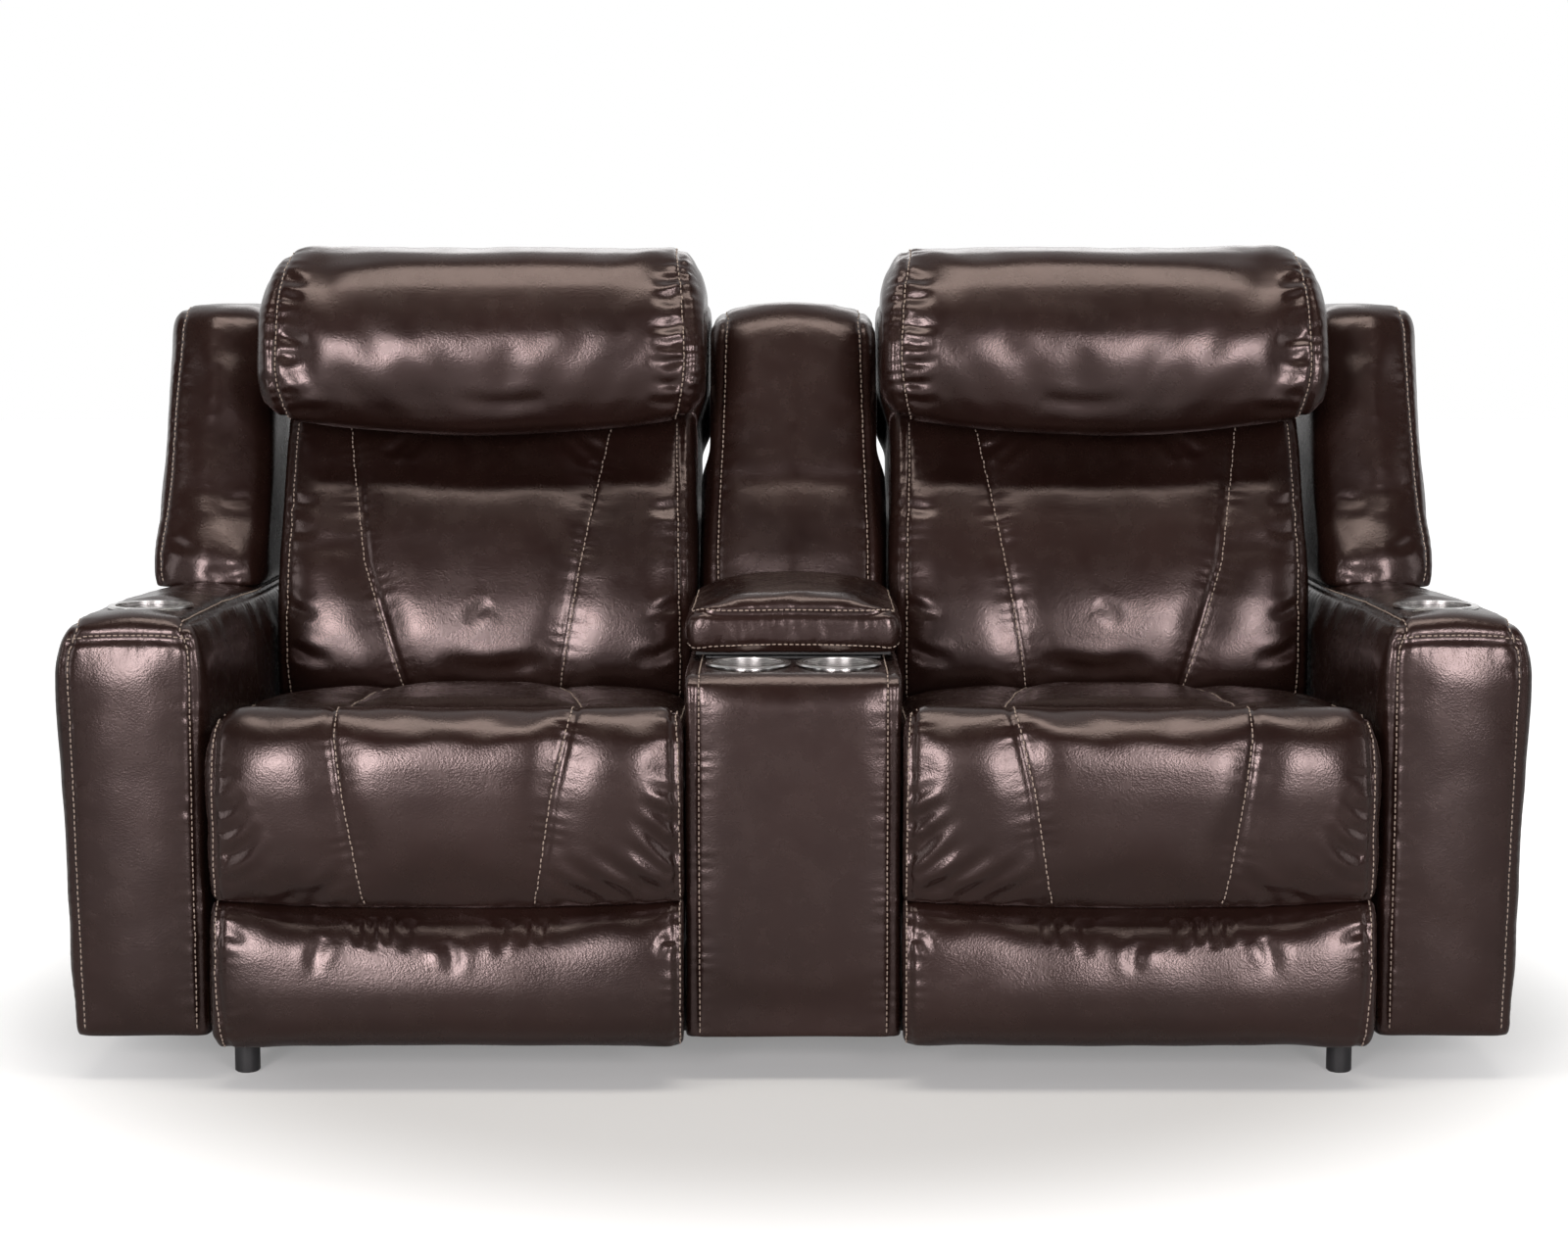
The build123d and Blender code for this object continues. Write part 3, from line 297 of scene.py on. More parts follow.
def makeSteel(name, colour, centre, rough=(0.20, 0.34)):
    material, tree, shader, place = newMaterial(name, Metallic=1.0)
    centred = addNode(tree, "ShaderNodeMapping")
    centred.inputs["Location"].default_value = (-centre[0], -centre[1], 0.0)
    tree.links.new(place, centred.inputs["Vector"])
    apart = addNode(tree, "ShaderNodeSeparateXYZ")
    tree.links.new(centred.outputs[0], apart.inputs[0])
    squares = [calculate(tree, "MULTIPLY", apart.outputs[k], apart.outputs[k]) for k in (0, 1)]
    rings = addNode(tree, "ShaderNodeCombineXYZ")
    tree.links.new(calculate(tree, "SQRT", calculate(tree, "ADD", *squares)), rings.inputs[0])
    tree.links.new(apart.outputs[2], rings.inputs[1])
    lines = addNode(tree, "ShaderNodeTexNoise", {"Scale": 1400.0, "Detail": 3.0})
    tree.links.new(rings.outputs[0], lines.inputs["Vector"])
    dull = addNode(tree, "ShaderNodeTexNoise", {"Scale": 40.0, "Detail": 3.0})
    tree.links.new(place, dull.inputs["Vector"])
    shade = spread(tree, dull.outputs[0], 0.0, 1.0)
    tree.links.new(
        blendColours(tree, shade, colour, tuple(c * 0.86 for c in colour)), shader.inputs["Base Color"])
    tree.links.new(spread(tree, lines.outputs[0], *rough), shader.inputs["Roughness"])
    raiseBump(tree, shader, lines.outputs[0], 0.12, 0.0002)
    return material


def makePlain(name, colour, second, rough, scale, bump, metallic=0.0, stretch=(1.0, 1.0, 1.0)):
    material, tree, shader, place = newMaterial(name, Metallic=metallic)
    mapped = addNode(tree, "ShaderNodeMapping")
    mapped.inputs["Scale"].default_value = stretch
    tree.links.new(place, mapped.inputs["Vector"])
    fine = addNode(tree, "ShaderNodeTexNoise", {"Scale": scale, "Detail": 5.0, "Roughness": 0.6})
    tree.links.new(mapped.outputs[0], fine.inputs["Vector"])
    broad = addNode(tree, "ShaderNodeTexNoise", {"Scale": scale / 30.0, "Detail": 3.0})
    tree.links.new(mapped.outputs[0], broad.inputs["Vector"])
    mixed = calculate(tree, "MULTIPLY_ADD", fine.outputs[0], 0.6, calculate(tree, "MULTIPLY", broad.outputs[0], 0.4))
    shade = spread(tree, mixed, 0.0, 1.0, 0.35, 0.65)
    tree.links.new(blendColours(tree, shade, colour, second), shader.inputs["Base Color"])
    tree.links.new(spread(tree, mixed, *rough), shader.inputs["Roughness"])
    raiseBump(tree, shader, fine.outputs[0], bump, 0.0006)
    return material


def makeLining(name):
    material, tree, shader, place = newMaterial(name, Sheen_Weight=0.3, Sheen_Roughness=0.5)
    weave = addNode(tree, "ShaderNodeTexVoronoi", {"Scale": 900.0})
    tree.links.new(place, weave.inputs["Vector"])
    lint = addNode(tree, "ShaderNodeTexNoise", {"Scale": 35.0, "Detail": 5.0})
    tree.links.new(place, lint.inputs["Vector"])
    tree.links.new(
        blendColours(tree, spread(tree, lint.outputs[0], 0.0, 1.0), (0.012, 0.012, 0.012), (0.026, 0.025, 0.025)),
        shader.inputs["Base Color"])
    tree.links.new(spread(tree, lint.outputs[0], 0.75, 0.95), shader.inputs["Roughness"])
    raiseBump(tree, shader, weave.outputs["Distance"], 0.35, 0.0008)
    return material


grainGroup = makeGrainGroup()
leatherSkin = makeLeather("brownLeather", leather, grainGroup)
seamThread = makeThread("taupeThread")
slotMaterials = {
    "frame_board": makePlain(
        "sawnBoard", (0.50, 0.33, 0.17), (0.36, 0.22, 0.105), (0.55, 0.75), 70.0, 0.2, stretch=(0.12, 1.0, 1.0)),
    "lining": makeLining("liningCloth"),
    "zinc_steel": makePlain("zincSteel", (0.58, 0.58, 0.56), (0.45, 0.45, 0.43), (0.25, 0.42), 160.0, 0.08, 1.0),
    "black_steel": makePlain("blackSteel", (0.010, 0.010, 0.011), (0.020, 0.020, 0.021), (0.32, 0.48), 420.0, 0.25),
    "rocker_plastic": makePlain(
        "rockerPlastic", (0.030, 0.030, 0.032), (0.040, 0.040, 0.043), (0.38, 0.5), 600.0, 0.12),
    "black_plastic": makePlain("blackPlastic", (0.010, 0.010, 0.011), (0.017, 0.017, 0.018), (0.30, 0.44), 600.0, 0.12),
}
print("materials ready")


# Mesh tools for the padded pieces.
def pointsOf(piece):
    flat = np.empty(len(piece.data.vertices) * 3)
    piece.data.vertices.foreach_get("co", flat)
    return flat.reshape(-1, 3)


def setPoints(piece, points):
    piece.data.vertices.foreach_set("co", points.ravel())
    piece.data.update()


def normalsOf(piece):
    flat = np.empty(len(piece.data.vertices) * 3)
    piece.data.vertex_normals.foreach_get("vector", flat)
    return flat.reshape(-1, 3)


def treeOf(piece):
    return BVHTree.FromPolygons(
        [v.co for v in piece.data.vertices], [p.vertices for p in piece.data.polygons])


def newPiece(name, points, faces):
    mesh = bpy.data.meshes.new(name)
    mesh.from_pydata([tuple(p) for p in points], [], faces)
    piece = bpy.data.objects.new(name, mesh)
    bpy.context.scene.collection.objects.link(piece)
    return piece


def loft(name, rings):
    count = len(rings[0])
    faces = []
    for r in range(len(rings) - 1):
        for k in range(count):
            a, b = r * count + k, r * count + (k + 1) % count
            faces.append((a, b, b + count, a + count))
    faces.append(tuple(range(count - 1, -1, -1)))
    faces.append(tuple((len(rings) - 1) * count + k for k in range(count)))
    piece = newPiece(name, np.concatenate(rings) * mm, faces)
    shape = bmesh.new()
    shape.from_mesh(piece.data)
    bmesh.ops.recalc_face_normals(shape, faces=shape.faces)
    shape.to_mesh(piece.data)
    shape.free()
    return piece


def runCounts(corners, radius=16.0):
    corners = np.array(corners, float)
    return [max(1, round(np.linalg.norm(b - a) / radius)) for a, b in zip(corners, np.roll(corners, -1, axis=0))]


def roundCorners(corners, radius=16.0, passes=3, share=0.25, counts=None):
    corners = np.array(corners, float)
    counts = counts or runCounts(corners, radius)
    outline = []
    for a, b, count in zip(corners, np.roll(corners, -1, axis=0), counts):  # short runs keep the rounding small
        outline += [a + (b - a) * k / count for k in range(count)]
    outline = np.array(outline)
    for _ in range(passes):
        following = np.roll(outline, -1, axis=0)
        first = outline * (1 - share) + following * share
        second = outline * share + following * (1 - share)
        outline = np.stack([first, second], axis=1).reshape(-1, 2)
    return outline


def inset(outline, amount):
    before, after = np.roll(outline, 1, axis=0), np.roll(outline, -1, axis=0)
    along = after - before
    along /= np.maximum(np.linalg.norm(along, axis=1, keepdims=True), 1e-9)
    inward = np.stack([-along[:, 1], along[:, 0]], axis=1)
    area = np.sum(outline[:, 0] * after[:, 1] - after[:, 0] * outline[:, 1])
    return outline + inward * (amount if area > 0 else -amount)


def endStations(low, high, radius, steps=4):
    turns = [math.pi / 2 * k / steps for k in range(steps + 1)]
    stations = [(low + radius * (1 - math.cos(a)), radius * (1 - math.sin(a))) for a in turns]
    return stations + [(low + high - x, amount) for x, amount in reversed(stations)]


def extrudeAlongX(name, outline, low, high, radius):
    rings = []
    for x, amount in endStations(low, high, radius):
        shape = inset(outline, amount)
        rings.append(np.column_stack([np.full(len(shape), x), shape]))
    return loft(name, rings)


def applyModifier(piece, kind, **settings):
    bpy.ops.object.select_all(action="DESELECT")
    bpy.context.view_layer.objects.active = piece
    piece.select_set(True)
    made = piece.modifiers.new("work", kind)
    for key, value in settings.items():
        setattr(made, key, value)
    bpy.ops.object.modifier_apply(modifier=made.name)
    piece.select_set(False)


def remesh(piece, voxel, smoothing=6):
    applyModifier(piece, "REMESH", mode="VOXEL", voxel_size=voxel * mm)
    applyModifier(piece, "SMOOTH", factor=0.5, iterations=smoothing)


def densify(points, step=5.0):
    points = np.array(points, float)
    out = [points[0]]
    for a, b in zip(points[:-1], points[1:]):
        pieces = max(1, int(np.linalg.norm(b - a) / step))
        for k in range(1, pieces + 1):
            out.append(a + (b - a) * k / pieces)
    return np.array(out)


def curveThrough(points, step=5.0):
    points = np.array(points, float)
    if len(points) < 3:
        return densify(points, step)
    padded = np.vstack([2 * points[0] - points[1], points, 2 * points[-1] - points[-2]])
    out = []
    for k in range(1, len(padded) - 2):
        a, b, c, d = padded[k - 1:k + 3]
        count = max(2, int(np.linalg.norm(c - b) / step))
        for t in np.arange(count) / count:
            out.append(0.5 * (2 * b + (c - a) * t + (2 * a - 5 * b + 4 * c - d) * t ** 2
                              + (3 * b - a - 3 * c + d) * t ** 3))
    out.append(points[-1])
    return np.array(out)


def followOutline(outline, start, end, across, step=5.0):
    first = np.argmin(np.linalg.norm(outline - np.array(start), axis=1))
    last = np.argmin(np.linalg.norm(outline - np.array(end), axis=1))
    indices = np.arange(first, last + 1) if last >= first else np.arange(first, last - 1, -1)
    way = outline[indices]
    lengths = np.concatenate([[0], np.cumsum(np.linalg.norm(np.diff(way, axis=0), axis=1))])
    x = np.interp(lengths / lengths[-1], [f for f, _ in across], [v for _, v in across])
    return densify(np.column_stack([x, way]), step)


def snap(tree, line):
    return np.array([tree.find_nearest(Vector(p * mm))[0][:] for p in line]) / mm


def snapSeams(piece, seams):
    tree = treeOf(piece)
    for seam in seams:
        seam["line"] = snap(tree, seam["line"])


def frontLine(tree, path, way=1):
    line = []
    for x, z in curveThrough(path, 6.0):
        hit = tree.ray_cast(Vector((way * x * mm, -0.9, z * mm)), Vector((0.0, 1.0, 0.0)))[0]
        if hit is not None:
            line.append(hit[:])
    return np.array(line) / mm


def drawnFolds(tree, paths, way):
    folds = []
    for width, height, path in paths:
        line = frontLine(tree, path, way)
        if len(line) > 2:
            folds.append({"line": line, "width": width, "height": 1.35 * height, "lean": 0.6})
    return folds


def seamDistance(points, line):
    low, high = line.min(0) - 0.06, line.max(0) + 0.06
    near = np.where(np.all((points > low) & (points < high), axis=1))[0]
    distance, along = np.full(len(points), 1.0), np.zeros(len(points))
    part = points[near]
    best, where, total = np.full(len(part), 1.0), np.zeros(len(part)), 0.0
    for a, b in zip(line[:-1], line[1:]):
        d = b - a
        length = max(np.linalg.norm(d), 1e-9)
        t = np.clip((part - a) @ d / length ** 2, 0, 1)
        gap = np.linalg.norm(part - (a + t[:, None] * d), axis=1)
        closer = gap < best
        best[closer] = gap[closer]
        where[closer] = total + t[closer] * length
        total += length
    distance[near], along[near] = best, where
    return distance, along, total


def smoothField(piece, field, passes):
    ends = np.empty(len(piece.data.edges) * 2, int)
    piece.data.edges.foreach_get("vertices", ends)
    first, second = ends.reshape(-1, 2).T
    count = len(field)
    degree = np.bincount(first, minlength=count) + np.bincount(second, minlength=count)
    for _ in range(passes):
        around = np.stack([
            np.bincount(first, weights=field[second, c], minlength=count)
            + np.bincount(second, weights=field[first, c], minlength=count) for c in range(3)], axis=1)
        field = 0.5 * field + 0.5 * around / degree[:, None]
    return field


clothSpec = {
    "quality": 4, "mass": 0.25, "tension_stiffness": 14.0, "compression_stiffness": 14.0, "shear_stiffness": 6.0,
    "bending_stiffness": 0.8, "vertex_group_mass": "held", "use_pressure": True,
}
lastFrame = 14


def simulate(piece, seams, pin, pressure, shrink, cap, passes=14):
    start = pointsOf(piece)
    held = pin(start / mm)
    for seam in seams:
        distance, _, _ = seamDistance(start, seam["line"] * mm)
        held |= distance < seam.get("hold", 5.0) * mm
    group = piece.vertex_groups.new(name="held")
    group.add([int(i) for i in np.where(held)[0]], 1.0, "REPLACE")
    cloth = piece.modifiers.new("fill", "CLOTH")
    settings = cloth.settings
    for key, value in clothSpec.items():
        setattr(settings, key, value)
    settings.uniform_pressure_force = pressure
    settings.shrink_min = shrink
    settings.effector_weights.gravity = 0.0
    cloth.collision_settings.use_collision = False
    for step in range(1, lastFrame + 1):
        bpy.context.scene.frame_set(step)
    bpy.ops.object.select_all(action="DESELECT")
    bpy.context.view_layer.objects.active = piece
    bpy.ops.object.modifier_apply(modifier=cloth.name)
    piece.vertex_groups.clear()
    moved = pointsOf(piece) - start
    print(piece.name, "filled by", round(float(np.abs(moved).max()) / mm, 1), "mm at most")
    length = np.linalg.norm(moved, axis=1, keepdims=True)
    limit = cap * mm
    moved *= np.where(length > limit, limit / np.maximum(length, 1e-9), 1.0)
    setPoints(piece, start + smoothField(piece, moved, passes))


def carve(piece, seams, seed):
    rng = np.random.default_rng(seed)
    points, normals = pointsOf(piece), normalsOf(piece)
    drop = np.zeros(len(points))
    for seam in seams:
        line = seam["line"] * mm
        distance, along, total = seamDistance(points, line)
        depth, width = seam.get("depth", 3.5) * mm, seam.get("width", 5.0) * mm
        drop -= depth * np.exp(-(distance / width) ** 2)
        pucker = seam.get("pucker", 0.8) * mm
        if pucker:
            phase = rng.uniform(0, 6.28, 4)
            period = seam.get("period", 17.0) * mm
            wave = (np.sin(along / period * 6.28 + phase[0] + 1.3 * np.sin(along / period * 1.7 + phase[1]))
                    * (0.6 + 0.4 * np.sin(along / period * 0.9 + phase[2])))
            reach = seam.get("reach", 15.0) * mm
            drop += pucker * wave * np.exp(-((distance - 0.5 * reach) / reach) ** 2)
    setPoints(piece, points + normals * drop[:, None])


def addFolds(piece, folds):
    points, normals = pointsOf(piece), normalsOf(piece)
    drop = np.zeros(len(points))
    for fold in folds:
        distance, along, total = seamDistance(points, fold["line"] * mm)
        share = np.clip(along / total, 0, 1)
        taper = np.sin(np.pi * np.clip(share, 0.0, 1.0) ** fold.get("lean", 0.7)) ** 0.8
        width = fold["width"] * mm
        valley = -np.exp(-(distance / width) ** 2) + 0.45 * np.exp(-((distance - 1.9 * width) / width) ** 2)
        drop += fold["height"] * mm * taper * valley
    setPoints(piece, points + normals * drop[:, None])


def pullFolds(tree, seam, side, count, reach, height, rng, portion=(0.03, 0.97), lean=0.5):
    line = seam["line"]
    folds = []
    for _ in range(count):
        place = rng.uniform(*portion) * (len(line) - 1)
        k = min(int(place), len(line) - 2)
        start = line[k]
        ahead = line[min(k + 3, len(line) - 1)] - line[max(k - 3, 0)]
        ahead /= max(np.linalg.norm(ahead), 1e-9)
        hit = tree.find_nearest(Vector(start * mm))
        across = np.cross(ahead, np.array(hit[1][:])) * side
        way = across + ahead * rng.normal(0, lean)
        way /= np.linalg.norm(way)
        length = rng.uniform(*reach)
        bend = ahead * rng.normal(0, 0.12)
        steps = np.linspace(4.0, length, max(4, int(length / 6)))
        path = np.array([start + way * s + bend * s * s / length for s in steps])
        folds.append({
            "line": snap(tree, path), "width": rng.uniform(4.0, 8.5) * (0.6 + length / 90.0),
            "height": height * rng.uniform(0.4, 1.0), "lean": 0.5,
        })
    return folds


def rumple(piece, height, scale, seed):
    rng = np.random.default_rng(seed)
    points, normals = pointsOf(piece), normalsOf(piece)
    wave = np.zeros(len(points))
    for k in range(7):
        direction = rng.normal(0, 1, 3)
        direction /= np.linalg.norm(direction)
        size = scale * rng.uniform(0.6, 1.6) * mm
        bend = rng.normal(0, 1, 3) / (size * 3)
        wave += np.sin(points @ direction / size * 6.28 + 1.5 * np.sin(points @ bend) + rng.uniform(0, 6.28)) / 7 ** 0.5
    setPoints(piece, points + normals * (wave * height * mm)[:, None])


stitchSpec = {"length": 5.4, "spacing": 7.4, "radius": 0.95, "lift": 0.4}


def stitchShape(spec):
    sides, half, radius = 5, spec["length"] / 2, spec["radius"]
    profile = [(-half, 0.35), (-half * 0.6, 1.0), (half * 0.6, 1.0), (half, 0.35)]
    points = [(x, radius * r * math.cos(2 * math.pi * k / sides), radius * r * math.sin(2 * math.pi * k / sides))
              for x, r in profile for k in range(sides)]
    faces = []
    for r in range(len(profile) - 1):
        for k in range(sides):
            a, b = r * sides + k, r * sides + (k + 1) % sides
            faces.append((a, a + sides, b + sides, b))
    faces.append(tuple(range(sides)))
    faces.append(tuple(range(len(points) - 1, len(points) - sides - 1, -1)))
    return np.array(points), faces


def sew(name, piece, rows, spec=stitchSpec):
    tree = treeOf(piece)
    base, baseFaces = stitchShape(spec)
    allPoints, allFaces = [], []
    for line, offset in rows:
        lengths = np.concatenate([[0], np.cumsum(np.linalg.norm(np.diff(line, axis=0), axis=1))])
        for s in np.arange(spec["spacing"] / 2, lengths[-1], spec["spacing"]):
            here = np.array([np.interp(s, lengths, line[:, c]) for c in range(3)])
            ahead = np.array([np.interp(min(s + 4, lengths[-1]), lengths, line[:, c]) for c in range(3)])
            back = np.array([np.interp(max(s - 4, 0), lengths, line[:, c]) for c in range(3)])
            along = ahead - back
            along /= max(np.linalg.norm(along), 1e-9)
            hit = tree.find_nearest(Vector(here * mm))
            across = np.cross(along, np.array(hit[1][:]))
            across /= max(np.linalg.norm(across), 1e-9)
            spot, normal = tree.find_nearest(Vector((here + across * offset) * mm))[:2]
            normal = np.array(normal[:])
            along = along - normal * (along @ normal)
            along /= max(np.linalg.norm(along), 1e-9)
            third = np.cross(normal, along)
            turned = base[:, :1] * along + base[:, 1:2] * third + base[:, 2:] * normal
            centre = np.array(spot[:]) / mm + normal * spec["lift"]
            shift = len(allPoints) * len(base)
            allPoints.append((turned + centre) * mm)
            allFaces += [tuple(i + shift for i in f) for f in baseFaces]
    stitches = newPiece(name, np.concatenate(allPoints), allFaces)
    bpy.context.view_layer.objects.active = stitches
    stitches.data.shade_smooth()
    stitches.data.materials.append(seamThread)
    return stitches


def mirrorPiece(piece, name):
    copy = piece.copy()
    copy.data = piece.data.copy()
    copy.name = copy.data.name = name
    bpy.context.scene.collection.objects.link(copy)
    points = pointsOf(copy)
    points[:, 0] *= -1
    setPoints(copy, points)
    shape = bmesh.new()
    shape.from_mesh(copy.data)
    bmesh.ops.reverse_faces(shape, faces=shape.faces)
    shape.to_mesh(copy.data)
    shape.free()
    return copy


def mirrorLines(seams):
    flip = np.array([-1.0, 1.0, 1.0])
    return [{**seam, "line": seam["line"] * flip, "flip": True} for seam in seams]


def stitchRows(seams):
    rows = []
    for seam in seams:
        for offset in seam.get("rows", ()):
            rows.append((seam["line"], -offset if seam.get("flip") else offset))
    return rows


def finishLeather(piece):
    piece.data.shade_smooth()
    piece.data.materials.clear()
    piece.data.materials.append(leatherSkin)


def dress(piece, seams, folds, look, seed, way):
    addFolds(piece, folds(treeOf(piece), seams, np.random.default_rng(seed), way))
    carve(piece, seams, seed)
    rumple(piece, look["rumple"], look["rumpleScale"], seed + 7)
    if look.get("keep"):
        keepShape(piece, look["keep"], way)
    finishLeather(piece)


def dressPair(label, piece, seams, folds, look, place, replaced):
    other = mirrorPiece(piece, f"{label}_left")
    sides = (("right", piece, seams, look["seed"], 1), ("left", other, mirrorLines(seams), look["seed"] + 50, -1))
    for side, current, lines, seed, way in sides:
        current.name = current.data.name = f"{label}_{side}"
        dress(current, lines, folds, look, seed, way)
        rows = stitchRows(lines)
        sewn = sew(f"{label}Thread_{side}", current, rows) if rows else None
        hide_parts(*[f"{n}_{side}" for n in replaced])
        for p in (current, sewn):
            if p is not None:
                place(p, side)
    print(label, "done,", len(piece.data.vertices), "points a side")


# Seat leather: one cover over the cushion, the bolster and the upper half of the leg rest.
seat = {
    "outline": [
        (12, 364), (10, 437), (-50, 449), (-190, 463), (-320, 465), (-380, 456), (-402, 459), (-422, 474),
        (-444, 481), (-463, 472), (-475, 450), (-482, 415), (-485, 375), (-484, 330), (-480, 285), (-474, 255),
        (-466, 236), (-450, 224), (-416, 224), (-416, 338), (-402, 364)],
    "low": 133.5, "high": 721.5, "endRadius": 14.0, "voxel": 7.0,
    "fill": {"pressure": 4.0, "shrink": -0.03, "cap": 9.0},
    "folds": [  # width, height and course of each fold on the front, as x and z
        (9, 2.6, [(141, 334), (163, 352), (192, 369)]), (9, 2.4, [(141, 292), (173, 329), (203, 354)]),
        (10, 3.0, [(160, 248), (213, 281), (246, 306)]), (10, 2.8, [(198, 243), (249, 272), (286, 297)]),
        (9, 2.2, [(235, 240), (273, 259), (304, 279)]), (7, 1.6, [(150, 270), (180, 294), (200, 316)]),
        (9, 2.4, [(601, 234), (573, 259), (548, 280)]), (8, 1.6, [(640, 236), (610, 250), (580, 258)]),
        (9, 2.4, [(701, 296), (673, 312), (655, 340)]), (8, 2.0, [(705, 325), (682, 338), (666, 361)]),
        (8, 1.6, [(706, 352), (686, 362), (672, 380)]), (7, 1.3, [(700, 262), (672, 274), (650, 292)]),
        (7, 1.2, [(143, 372), (160, 380), (180, 388)]), (6, 1.0, [(710, 395), (694, 398), (676, 402)])],
}
footrest = {
    "outline": [
        (-416, 46), (-416, 239), (-448, 239), (-464, 226), (-473, 205), (-478, 175), (-480, 130), (-479, 88),
        (-474, 62), (-460, 46)],
    "low": 133.5, "high": 721.5, "endRadius": 14.0, "voxel": 7.0,
    "fill": {"pressure": 4.0, "shrink": -0.03, "cap": 7.0},
    "folds": [
        (6, 2.2, [(537, 214), (536, 200), (533, 183)]), (6, 2.4, [(520, 215), (520, 199), (518, 180)]),
        (6, 2.0, [(503, 215), (502, 201), (500, 186)]), (7, 1.4, [(480, 214), (478, 198), (478, 176)]),
        (6, 1.8, [(330, 214), (331, 200), (334, 184)]), (6, 1.6, [(312, 214), (313, 201), (316, 188)]),
        (7, 1.2, [(360, 213), (362, 196), (360, 170)]), (6, 1.8, [(143, 222), (152, 214), (166, 206)]),
        (6, 1.8, [(143, 208), (154, 200), (170, 190)]), (6, 1.4, [(143, 195), (156, 190), (172, 178)]),
        (7, 1.2, [(709, 205), (692, 200), (676, 190)]), (7, 1.2, [(700, 70), (684, 84), (660, 92)]),
        (9, 1.2, [(430, 190), (420, 170), (424, 150)]), (9, 1.0, [(580, 196), (590, 170), (586, 150)])],
}
creaseHeight, creaseGap = 231.4, 0.4  # where the seat's cover meets the footrest's
seatSides = (136.2, 724.0)  # the covers stop short of console and arm
seatMiddle = 429.5


def rideOn(body):
    return lambda piece, side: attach(piece, f"{body}_{side}" if body != "base" else "base")


def blendOverHinge(piece, side):
    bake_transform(piece)


def alongSeat(points):
    return np.clip((points[:, 0] - seatMiddle) / 292.0, -1.1, 1.1)


def shapeSeat(points):
    across = alongSeat(points)
    x, y, z = points.T
    behind = np.clip((y + 400) / 60, 0, 1)
    points[:, 2] -= 17.0 * across ** 2 * behind * np.clip((z - 380) / 70, 0, 1)
    outer = np.clip((x - 662) / 58, 0, 1)
    inner = np.clip((172 - x) / 36, 0, 1)
    corner = 36.0 * (1 - np.sqrt(1 - outer ** 2)) + 22.0 * (1 - np.sqrt(1 - inner ** 2))
    points[:, 2] -= corner * (1 - behind) * np.clip((z - 400) / 70, 0, 1)
    points[:, 1] += 10.0 * across ** 4 * (1 - behind) * np.clip((z - 240) / 60, 0, 1) * (y < -440)
    return points


def shapeFoot(points):
    across = alongSeat(points)
    recess = np.clip((points[:, 2] - 118) / 112, 0, 1)
    points[:, 1] += 20.0 * (1 - across ** 2) * recess ** 1.5 * np.clip((-440 - points[:, 1]) / 30, 0, 1)
    points[:, 2] += 5.0 * across ** 4 * np.clip((90 - points[:, 2]) / 30, 0, 1)
    return points


def dipCrease(points):
    across = alongSeat(points)
    near = np.exp(-((points[:, 2] - creaseHeight) / 55.0) ** 2)
    points[:, 2] += (9.0 * across ** 2 - 3.0) * near
    return points


def bend(piece, seams, shape):
    setPoints(piece, shape(pointsOf(piece) / mm) * mm)
    for seam in seams:
        seam["line"] = shape(np.array(seam["line"]))


def keepBetween(piece, low, high):
    points = pointsOf(piece)
    points[:, 0] = np.clip(points[:, 0], low * mm, high * mm)
    setPoints(piece, points)


def keepShape(piece, keep, way=1):
    points = pointsOf(piece) / mm
    points[:, 0] *= way
    points = keep(points)
    points[:, 0] *= way
    setPoints(piece, points * mm)


def keepHeight(piece, low=-1000.0, high=2000.0):
    points = pointsOf(piece)
    points[:, 2] = np.clip(points[:, 2], low * mm, high * mm)
    setPoints(piece, points)


seatOutline = roundCorners(seat["outline"])
seatPiece = extrudeAlongX("seatLeather", seatOutline, seat["low"], seat["high"], seat["endRadius"])
remesh(seatPiece, seat["voxel"])
seatTop, seatBase = (10, 437), (-466, 236)
seatSeams = [
    {"line": followOutline(seatOutline, seatTop, seatBase, [(0, 541), (0.5, 566), (0.7, 566), (1, 534)]),
     "rows": (4.5,), "pucker": 0.35},
    {"line": followOutline(seatOutline, seatTop, seatBase, [(0, 326), (0.5, 262), (0.66, 268), (0.8, 292), (1, 315)]),
     "rows": (-4.5,), "pucker": 0.35},
    {"line": followOutline(seatOutline, seatTop, seatBase, [(0, 711), (0.62, 706), (0.75, 709), (1, 711)]),
     "rows": (-4.5,), "pucker": 0.5},
    {"line": followOutline(seatOutline, seatTop, seatBase, [(0, 146), (0.62, 148), (0.75, 145), (1, 142)]),
     "rows": (4.5,), "pucker": 0.5},
    {"line": curveThrough([(150, -398, 458), (290, -394, 458), (430, -392, 458), (570, -394, 458), (708, -398, 458)]),
     "depth": 5.0, "width": 9.0, "pucker": 0.5, "period": 40.0},
]
snapSeams(seatPiece, seatSeams)
bend(seatPiece, seatSeams, shapeSeat)


def seatHeld(p):
    under = (p[:, 2] < 368) & (p[:, 1] > -408)
    return under | (p[:, 1] > -421) & (p[:, 2] < 350) | (p[:, 1] > 0) | (p[:, 2] < 236) & (p[:, 1] > -460)


simulate(seatPiece, seatSeams, seatHeld, **seat["fill"])
keepBetween(seatPiece, *seatSides)
keepHeight(seatPiece, low=creaseHeight + creaseGap)
bend(seatPiece, seatSeams, dipCrease)
applyModifier(seatPiece, "SUBSURF", levels=1, render_levels=1)


